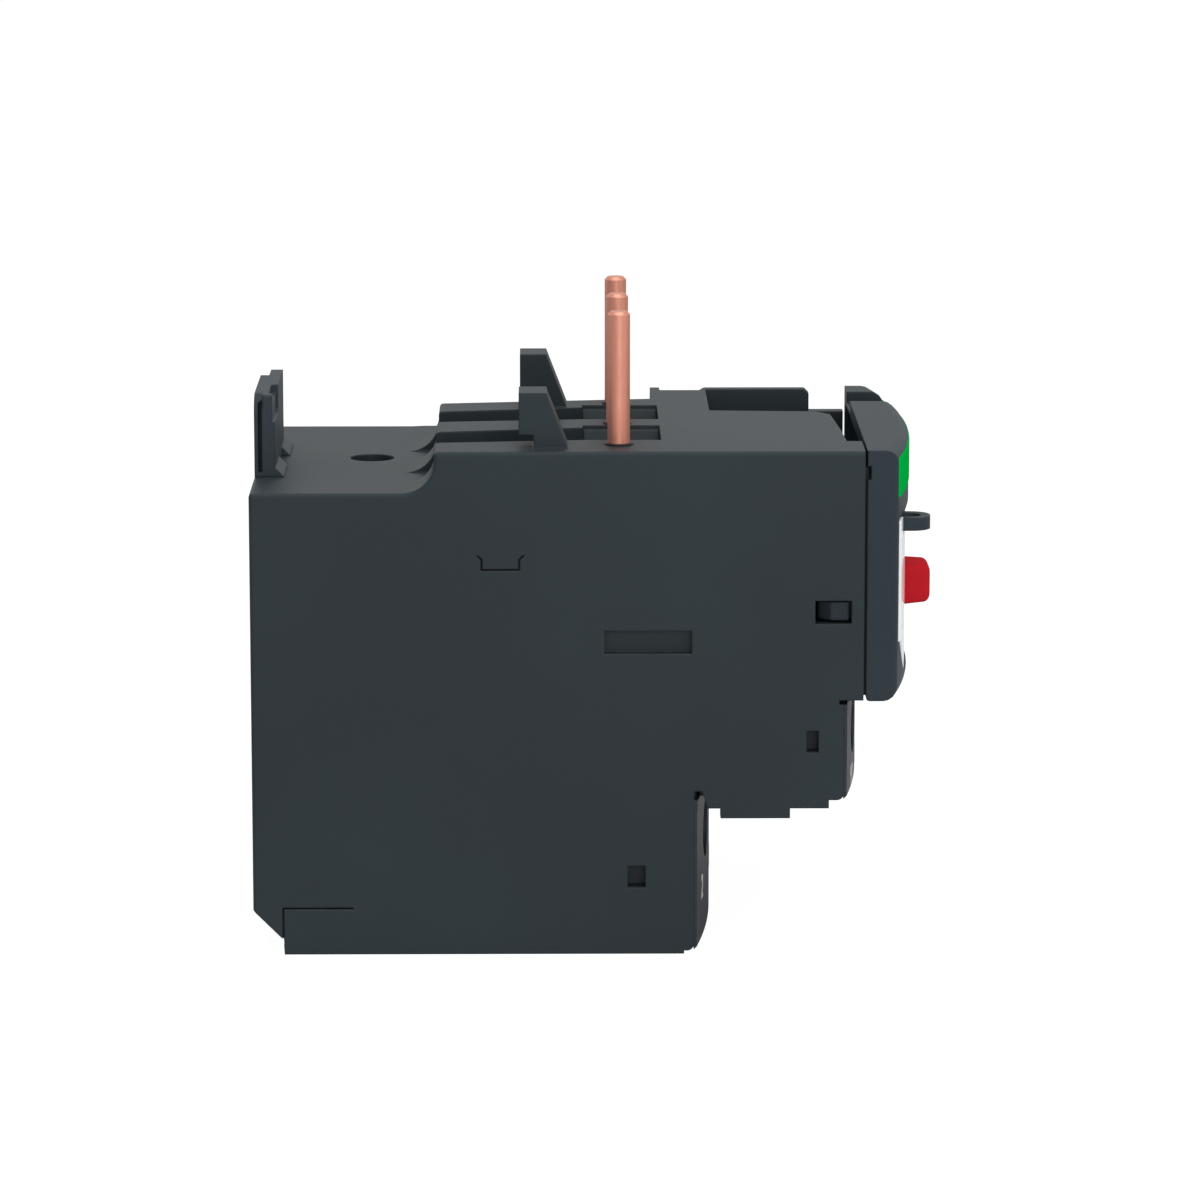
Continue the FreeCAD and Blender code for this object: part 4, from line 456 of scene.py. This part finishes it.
plateFace = {"crest": 67.1, "radius": 157.0}
onPlate = crownedFace(plateFace["crest"], plateFace["radius"])
dialShape = {"slotLong": 2.6, "slotHalf": 0.5, "slotDeep": 1.0, "floorShare": 0.95, "knurls": 30,
             "knurl": 0.16, "rim": 5.5, "groove": (4.35, 4.45, 4.75, 4.85), "grooveDeep": 0.12,
             "brim": 0.04, "brimEdge": 0.3, "back": 64.3, "shaft": 1.1, "collar": 2.2,
             "collarSpan": (59.0, 57.6)}
dialX, dialZ, dialFront, dialRear = placeOf("current_dial")
angles = cornerAngles(240, math.atan2(dialShape["slotHalf"], dialShape["slotLong"]))
slotReach = crossReach(angles, dialShape["slotLong"], 0, dialShape["slotHalf"])
rim = dialShape["rim"] - dialShape["knurl"] * (0.5 + 0.5 * np.cos(dialShape["knurls"] * angles)) ** 2
slotFloor, brim = dialFront - dialShape["slotDeep"], dialFront - dialShape["brim"]
grooveFloor, groove = dialFront - dialShape["grooveDeep"], dialShape["groove"]
back, shaft, collar = dialShape["back"], dialShape["shaft"], dialShape["collar"]
collarFront, collarBack = dialShape["collarSpan"]
rings = [(slotFloor, 0), (slotFloor, slotReach * dialShape["floorShare"]), (dialFront - 0.05, slotReach),
         (dialFront, slotReach + 0.06), (dialFront, groove[0]), (grooveFloor, groove[1]),
         (grooveFloor, groove[2]), (brim, groove[3]), (brim, rim - 0.25),
         (dialFront - dialShape["brimEdge"], rim), (back + 0.1, rim), (back, rim - 0.2), (back, shaft),
         (collarFront, shaft), (collarFront, collar), (collarBack, collar), (collarBack, shaft),
         (dialRear, shaft), (dialRear, 0)]
turnedPiece("current_dial_knurled", (dialX, dialZ), rings, angles, "dial", greyDial, "dial",
            replaced=("current_dial",))

pointerShape = {"half": 0.75, "low": 2.5, "high": 4.1, "slope": 2.1, "lift": 0.05}
reach = np.linspace(-pointerShape["half"], pointerShape["half"], 13)
inlay("dial_pointer", dialX + reach, dialZ + pointerShape["low"],
      dialZ + pointerShape["high"] - pointerShape["slope"] * np.abs(reach),
      lambda x, z: dialFront + 0 * x * z, pointerShape["lift"], "dial", stopRed, "dial", steps=3)


# The dial's scale on the plate: a long tick at each figure, and three short ones between.

scaleShape = {"figures": ("7", "8", "9", "10"), "height": 1.25, "wide": 7.75, "tall": 7.35, "turn": 120,
              "ticks": 13, "ticksPerFigure": 4, "start": 5.95, "half": 0.09, "long": 1.0, "short": 0.55,
              "lift": 0.03, "sunk": 0.05}
firstAngle = 90 + scaleShape["turn"]
for number in range(scaleShape["ticks"]):
    angle = math.radians(firstAngle - number * scaleShape["turn"] / 6)
    c, s = math.cos(angle), math.sin(angle)
    length = scaleShape["short" if number % scaleShape["ticksPerFigure"] else "long"]
    outwards = scaleShape["start"] + length * np.array([0, 1, 1, 0])
    beside = scaleShape["half"] * np.array([-1, -1, 1, 1])
    x, z = dialX + outwards * c - beside * s, dialZ + outwards * s + beside * c
    face = onPlate(x, z)
    cappedPiece("dial_tick_%d" % number,
                [spot(x, face + scaleShape["lift"], z), spot(x, face - scaleShape["sunk"], z)],
                "housing", markDark, "plate")
for number, text in enumerate(scaleShape["figures"]):
    angle = math.radians(firstAngle - number * scaleShape["turn"] * 2 / 3)
    figures("dial_figure_%d" % number, text, scaleShape["height"],
            dialX + scaleShape["wide"] * math.cos(angle), dialZ + scaleShape["tall"] * math.sin(angle),
            onPlate, "housing", markDark, "plate")
print("dial and scale made")


# Reset button: a hollow cap with a round edge. Its hollow's depth falls with the square of the radius.

resetShape = {"tip": 68.5, "back": 61.4, "radius": 3.6, "round": 0.55, "dish": 0.3, "stem": 1.1,
              "stemEnd": 55.4}
resetX, resetZ, *_ = placeOf("reset_button")
tip, back, radius, bend, stem, stemEnd = (
    resetShape[key] for key in ("tip", "back", "radius", "round", "stem", "stemEnd"))
dish = np.linspace(0, 1, 9) * (radius - bend - 0.15)
rings = [(tip - resetShape["dish"] * (1 - (r / dish[-1]) ** 2), r) for r in dish]
rings += [(tip - bend * (1 - math.cos(a)), radius - bend * (1 - math.sin(a))) for a in quarter]
rings += [(back + 0.1, radius), (back, radius - 0.1), (back, stem), (stemEnd, stem), (stemEnd, 0)]
turnedPiece("reset_button_dished", (resetX, resetZ), rings, evenAngles(96), "reset", resetBlue, "blue",
            replaced=("reset_button",))


# Reset selector: a slotted disc with a shoulder, and a mark beside and below it on the plate.

selectorShape = {"front": 66.9, "radius": 1.8, "slotLong": 1.45, "slotHalf": 0.33, "slotDeep": 0.9,
                 "floorShare": 0.95, "discEnd": 61.5, "shoulder": 1.6, "shoulderEnd": 57.6, "shaft": 1.1,
                 "end": 55.4}
_, selectorZ, *_ = placeOf("reset_selector")
angles = cornerAngles(72, math.atan2(selectorShape["slotHalf"], selectorShape["slotLong"]))
slotReach = crossReach(angles, selectorShape["slotLong"], 0, selectorShape["slotHalf"])
front, radius, discEnd, shoulder, shoulderEnd, shaft, end = (
    selectorShape[key] for key in ("front", "radius", "discEnd", "shoulder", "shoulderEnd", "shaft", "end"))
slotFloor = front - selectorShape["slotDeep"]
rings = [(slotFloor, 0), (slotFloor, slotReach * selectorShape["floorShare"]), (front, slotReach),
         (front, radius - 0.2), (front - 0.06, radius - 0.06), (front - 0.2, radius), (discEnd, radius),
         (discEnd, shoulder), (shoulderEnd, shoulder), (shoulderEnd, shaft), (end, shaft), (end, 0)]
turnedPiece("reset_selector_slotted", (resetX, selectorZ), rings, angles, "selector", greyDial, "dial",
            replaced=("reset_selector",))

selectorMarks = (
    {"across": -2.85, "up": 0, "width": 0.7, "height": 0.2},
    {"across": 0, "up": -2.6, "width": 0.2, "height": 0.7},
)
for number, mark in enumerate(selectorMarks):
    x = resetX + mark["across"] + np.linspace(-mark["width"], mark["width"], 3) / 2
    z = selectorZ + mark["up"]
    inlay("selector_tick_%d" % number, x, z - mark["height"] / 2, z + mark["height"] / 2, onPlate, 0.03,
          "housing", markDark, "plate", steps=3)


# Stop button: a round stem, then a rounded rectangle that narrows and rises a little towards its tip.

stopShape = {"tip": 71.0, "back": 61.6, "wide": 3.0, "tall": 2.38, "draft": 0.08, "lean": 0.02,
             "draftFrom": 66.5, "round": 0.78, "square": 8.0, "stem": 1.1, "stemEnd": 55.4}
stopX, stopZ, *_ = placeOf("stop_button")
angles = evenAngles(144)


def pastDraftStart(depth):
    return max(0.0, depth - stopShape["draftFrom"])


def cushionRing(wide, tall, depth, square):
    # a rounded rectangle: cosine and sine raised to two over the squareness
    c, s = np.cos(angles), np.sin(angles)
    raised = stopShape["lean"] * pastDraftStart(depth)
    return spot(stopX + wide * np.sign(c) * np.abs(c) ** (2 / square), depth,
                stopZ + raised + tall * np.sign(s) * np.abs(s) ** (2 / square))


def stopRing(inward, depth, share=1.0):        # the button's own outline, drawn in and then scaled
    return cushionRing((stopShape["wide"] - inward) * share, (stopShape["tall"] - inward) * share, depth,
                       stopShape["square"])


tip, back, bend, stem, stemEnd = (stopShape[key] for key in ("tip", "back", "round", "stem", "stemEnd"))
taper = stopShape["draft"] * pastDraftStart(tip - bend)
rows = [cushionRing(size, size, depth, 2.0)
        for depth, size in ((stemEnd, 0.0), (stemEnd, stem), (back, stem))]
rows += [stopRing(stopShape["draft"] * pastDraftStart(depth), depth)
         for depth in np.linspace(back, tip - bend, 9)]
rows += [stopRing(bend * (1 - math.cos(angle)) + taper, tip - bend * (1 - math.sin(angle)))
         for angle in np.radians(np.linspace(8, 90, 8))]
rows += [stopRing(bend + taper, tip, share) for share in (0.75, 0.5, 0.25, 0.0)]
pieceFrom("stop_button_cushioned", np.stack(rows), "stop", stopRed, "red", replaced=("stop_button",))


# Button springs: each winds round its stem. The wire's middle goes
# round at the spring's radius, and forwards in step with the angle turned. Its front end has no cap.

springShape = {"radius": 1.75, "wire": 0.22, "turns": 5, "steps": 28, "sides": 12}
motions = {joint["name"]: joint for joint in frame["record"]["behaviour"]["joints"]}
turns = np.linspace(0, springShape["turns"], springShape["turns"] * springShape["steps"] + 1)
turn = 2 * np.pi * turns[:, None]
side = evenAngles(springShape["sides"])[None, :]
wire = springShape["wire"]
outward = springShape["radius"] + wire * np.cos(side)
for name in ("stop", "reset"):
    low, high = nodeBox(name + "_spring")
    x, z, front, rear = placeOf(name + "_spring")
    length = front - rear
    depth = rear + wire + (length - 2 * wire) * turn / turn[-1] + wire * np.sin(side)
    rings = spot(x + outward * np.cos(turn), depth, z + outward * np.sin(turn))
    coil = cappedPiece(name + "_spring_coil", rings, name, zincSteel, "spring", farCap=False,
                       replaced=(name + "_spring",))
    travel = motions[name + "_press"]["range_m"][1] / mm
    (length - travel) / length
    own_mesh(coil)
print("buttons and springs made")


# Cover: its crown has rounded ends and a rounded brow. Round each, the depth falls as a quarter circle
# does, up to nearly the whole of it, where the face would lie square to the front.

coverFace = {"crest": 68.15, "radius": 112.5, "top": 52.4, "round": 1.3, "half": 22.5, "nearly": 0.995}


def onCover(x, z):
    bend, side = coverFace["round"], coverFace["half"] - coverFace["round"]
    inner = coverFace["radius"] - bend
    hub = coverFace["crest"] - coverFace["radius"] + math.sqrt(inner ** 2 - side ** 2)
    beside = np.clip(np.abs(x) - side, 0, bend * coverFace["nearly"])
    above = np.clip(z - (coverFace["top"] - bend), 0, bend * coverFace["nearly"])
    face = np.where(np.abs(x) < side * coverFace["radius"] / inner,
                    crown(coverFace["crest"], coverFace["radius"], x), hub + np.sqrt(bend ** 2 - beside ** 2))
    return face - (bend - np.sqrt(bend ** 2 - above ** 2))


# A bare green label under the brow, with round corners.

labelShape = {"half": 21.75, "straight": 21.1, "low": 47.45, "high": 51.5, "corner": 0.2, "upperShare": 0.2,
              "lift": 0.07}
half, corner = labelShape["half"], labelShape["corner"]
ease = corner * (1 - np.cos(quarter))
x = np.concatenate([ease - half, np.linspace(-labelShape["straight"], labelShape["straight"], 80),
                    half - ease[::-1]])
fromEnd = np.clip(corner - (half - np.abs(x)), 0, corner)
inset = corner - np.sqrt(corner ** 2 - fromEnd ** 2)
inlay("cover_label", x, labelShape["low"] + inset, labelShape["high"] - inset * labelShape["upperShare"],
      onCover, labelShape["lift"], "housing", labelGreen, "cover", steps=30)


# Painted shade: dark strips behind the side seams stand in for the seams' shade, and black blocks on the side
# walls stand in for the shade in the short gaps between the head and the auxiliary tier.

sides = {"left": -1, "right": 1}
seamShadeShape = {"x": 21.5, "half": 0.2, "depth": (62.35, 63.0), "low": 26.98,
              "top": {"left": 50.6, "right": 45.6}}
for side, sign in sides.items():
    x = sign * seamShadeShape["x"]
    block("seam_shade_" + side, (x - seamShadeShape["half"], x + seamShadeShape["half"]), seamShadeShape["depth"],
          (seamShadeShape["low"], seamShadeShape["top"][side]), "housing", innerDark, "inner_dark")

# black blocks painted on the side walls, standing in for the shade inside each gap
gapShape = {"x": (22.3, 22.52), "depth": (60.08, 60.9), "z": (26.16, 26.6)}
for side, sign in sides.items():
    block("tier_gap_shade_" + side, sorted(sign * edge for edge in gapShape["x"]), gapShape["depth"], gapShape["z"],
          "housing", gapShade, "inner_dark")


# The cover's heel: its lower rear edge, with a tight quarter round between rear and foot.

heelShape = {"rear": 62.8, "front": 63.9, "foot": 26.5, "high": 27.6, "round": 0.38, "half": 22.505}
rear, front, foot, high, bend = (heelShape[key] for key in ("rear", "front", "foot", "high", "round"))
depth = np.concatenate([[rear], rear + bend * (1 - np.cos(quarter)), [front, front]])
z = np.concatenate([[high], foot + bend * (1 - np.sin(quarter)), [foot, high]])
cappedPiece("cover_heel", [spot(sign * heelShape["half"], depth, z) for sign in sides.values()], "housing",
            slateCover, "cover")


# The cheeks' faces: each closes the lower corner of the window under a hollow curve, whose height over
# the foot is slope times run plus curve times run squared.

cheekShape = {"foot": 27.5, "start": 14.0, "end": 20.2, "slope": 0.454, "curve": 0.049, "low": 28.2,
              "reach": (15.6, 19.7), "short": 0.02, "lift": 0.006, "deep": 1.2}


def cheekTop(x):
    run = np.clip(np.abs(x), cheekShape["start"], cheekShape["end"]) - cheekShape["start"]
    return cheekShape["foot"] + cheekShape["slope"] * run + cheekShape["curve"] * run ** 2


for side, sign in sides.items():
    x = sign * np.linspace(*cheekShape["reach"], 16)
    inlay("cheek_" + side, x, cheekShape["low"], cheekTop(x) - cheekShape["short"], onCover,
          cheekShape["lift"], "housing", slateCover, "cover", steps=6, deep=cheekShape["deep"])


# The clear door's pane: a crowned skin on the door, cut back round the sealing eye and along the cheek.

paneShape = {"crest": 67.75, "radius": 157.0, "left": -21.15, "right": -1.8, "high": 44.9,
             "notch": (-18.4, -13.6), "notchTop": 43.0, "notchStep": 0.01, "gap": 0.35, "lift": 0.02,
             "deep": 0.03}
notchSides = np.add.outer(paneShape["notch"], (-paneShape["notchStep"], paneShape["notchStep"])).ravel()
x = np.concatenate([np.linspace(paneShape["left"], paneShape["right"], 70), notchSides])
x = np.unique(np.round(x, 4))
inNotch = (x > paneShape["notch"][0]) & (x < paneShape["notch"][1])
inlay("flap_pane", x, cheekTop(x) + paneShape["gap"],
      np.where(inNotch, paneShape["notchTop"], paneShape["high"]),
      crownedFace(paneShape["crest"], paneShape["radius"]), paneShape["lift"], "flap", clearFlap, "clear",
      steps=12, deep=paneShape["deep"])


# The plate's raised rim beside the door.

rimShape = {"x": (-21.2, -20.9), "low": 32.7, "high": 44.9, "lift": 0.13}
inlay("plate_rim", np.linspace(*rimShape["x"], 3), rimShape["low"], rimShape["high"], onPlate,
      rimShape["lift"], "housing", whitePlate, "plate", steps=3)
print("cover dressed")


# Plain terminal figures on the crowned faces of the two tiers.

tierFaces = {
    "low": {"front": 45.6, "figures": ("2", "4", "6"), "first": -18.0, "pitch": 14.0, "z": 5.95,
            "height": 2.6},
    "mid": {"front": 60.9, "figures": ("97", "98", "95", "96"), "first": -17.1, "pitch": 10.2, "z": 17.7,
            "height": 2.0},
}
tierCrown = {"radius": 140.0, "half": 22.5}


def onTier(front):                             # the face through the tier's front edges at the side walls
    rise = tierCrown["radius"] - math.sqrt(tierCrown["radius"] ** 2 - tierCrown["half"] ** 2)
    return crownedFace(front + rise, tierCrown["radius"])


for name, face in tierFaces.items():
    for number, text in enumerate(face["figures"]):
        figures("%s_figure_%d" % (name, number), text, face["height"], face["first"] + number * face["pitch"],
                face["z"], onTier(face["front"]), "housing", markWhite, "block")


# The power tier's face above its bores.

stripShape = {"half": 22.35, "low": 15.0, "high": 16.15, "lift": 0.0, "deep": 0.9}
inlay("load_face_top", np.linspace(-stripShape["half"], stripShape["half"], 60), stripShape["low"],
      stripShape["high"], onTier(tierFaces["low"]["front"]), stripShape["lift"], "housing", slateBlock,
      "block", steps=3, deep=stripShape["deep"])
print("tiers numbered")


# Sloped far walls of the two barrier slots in the top.

rampShape = {"far": (-4.85, 9.13), "run": 1.5, "high": 52.0, "low": 49.4, "depth": (34.02, 41.98)}
for number, far in enumerate(rampShape["far"]):
    x = np.array([far, far, far - rampShape["run"]])
    z = np.array([rampShape["high"], rampShape["low"], rampShape["low"]])
    cappedPiece("slot_ramp_%d" % number, [spot(x, depth, z) for depth in rampShape["depth"]], "housing",
                slateMould, "housing")
print("slots sloped")


# Floor: pale, and mostly its own white where the camera sees it, with the relay's shadow left on it.

floorShape = {"reach": 6.0, "glow": 1.2, "glowShare": 0.8}
floorFinish = Finish(bpy.data.materials.new("paleFloor"))
seen = floorFinish.node("ShaderNodeLightPath", output="Is Camera Ray")
matte = floorFinish.node("ShaderNodeBsdfDiffuse", {}, {"Color": (0.86, 0.86, 0.87, 1)})
glow = floorFinish.node("ShaderNodeEmission", {}, {"Color": (1, 1, 1, 1), "Strength": floorShape["glow"]})
both = floorFinish.node("ShaderNodeMixShader", {}, {0: seen * floorShape["glowShare"], 1: matte, 2: glow})
floorFinish.node("ShaderNodeOutputMaterial", {}, {"Surface": both})
reach = floorShape["reach"]
corners = [(-reach, -reach, 0), (reach, -reach, 0), (reach, reach, 0), (-reach, reach, 0)]
floorMesh = bpy.data.meshes.new("floor")
floorMesh.from_pydata(corners, [], [(0, 1, 2, 3)])
floorMesh.materials.append(floorFinish.owner)
floor = bpy.data.objects.new("floor", floorMesh)
bpy.context.scene.collection.objects.link(floor)


# World: the room's low even light, and white where it is seen, also in metal and glass.

roomLight = {"even": 0.26, "seen": 1.0}
studio = Finish(bpy.data.worlds.new("studio"))
bpy.context.scene.world = studio.owner
direct, glossy, through = (studio.node("ShaderNodeLightPath", output="Is %s Ray" % kind)
                           for kind in ("Camera", "Glossy", "Transmission"))
shown = (direct + (glossy + through)).clamped()
strength = roomLight["even"] + (roomLight["seen"] - roomLight["even"]) * shown
background = studio.node("ShaderNodeBackground", {}, {"Strength": strength})
studio.node("ShaderNodeOutputWorld", {}, {"Surface": background})


# Lamps: round and soft, all aimed at the middle of the relay.

lamps = {
    "topLamp": {"place": (-0.15, -0.05, 0.75), "size": 0.6, "power": 2.9},
    "frontLamp": {"place": (-0.35, -0.75, 0.35), "size": 0.5, "power": 1.4},
    "backLamp": {"place": (0.45, 0.85, 0.35), "size": 0.5, "power": 1.2},
    "sideLamp": {"place": (-0.80, -0.10, 0.22), "size": 0.5, "power": 1.9},
}
relayMiddle = Vector((0, 0, 0.03))
for name, lamp in lamps.items():
    light = bpy.data.lights.new(name, "AREA")
    light.shape = "DISK"
    light.size, light.energy = lamp["size"], lamp["power"]
    stand = bpy.data.objects.new(name, light)
    stand.location = lamp["place"]
    stand.rotation_euler = (relayMiddle - Vector(lamp["place"])).to_track_quat("-Z", "Y").to_euler()
    bpy.context.scene.collection.objects.link(stand)


# Camera: at the relay's left, looking a little down and a very little to its front.

view = {"left": 0.56987, "fromRear": 0.03033, "high": 0.14002, "down": 10.651, "turn": 0.5556,
        "lens": 164.277, "sensor": 36.0, "clip": (0.01, 50.0)}
down, turn = math.radians(view["down"]), math.radians(view["turn"])
camera = bpy.data.cameras.new("camera")
camera.lens, camera.sensor_width = view["lens"], view["sensor"]
camera.clip_start, camera.clip_end = view["clip"]
viewer = bpy.data.objects.new("camera", camera)
viewer.location = (-view["left"], rearY - view["fromRear"], view["high"])
gaze = Vector((math.cos(down) * math.cos(turn), -math.cos(down) * math.sin(turn), -math.sin(down)))
viewer.rotation_euler = gaze.to_track_quat("-Z", "Y").to_euler()
bpy.context.scene.collection.objects.link(viewer)
bpy.context.scene.camera = viewer
bpy.context.scene.view_settings.view_transform = "Standard"
print("stage set")
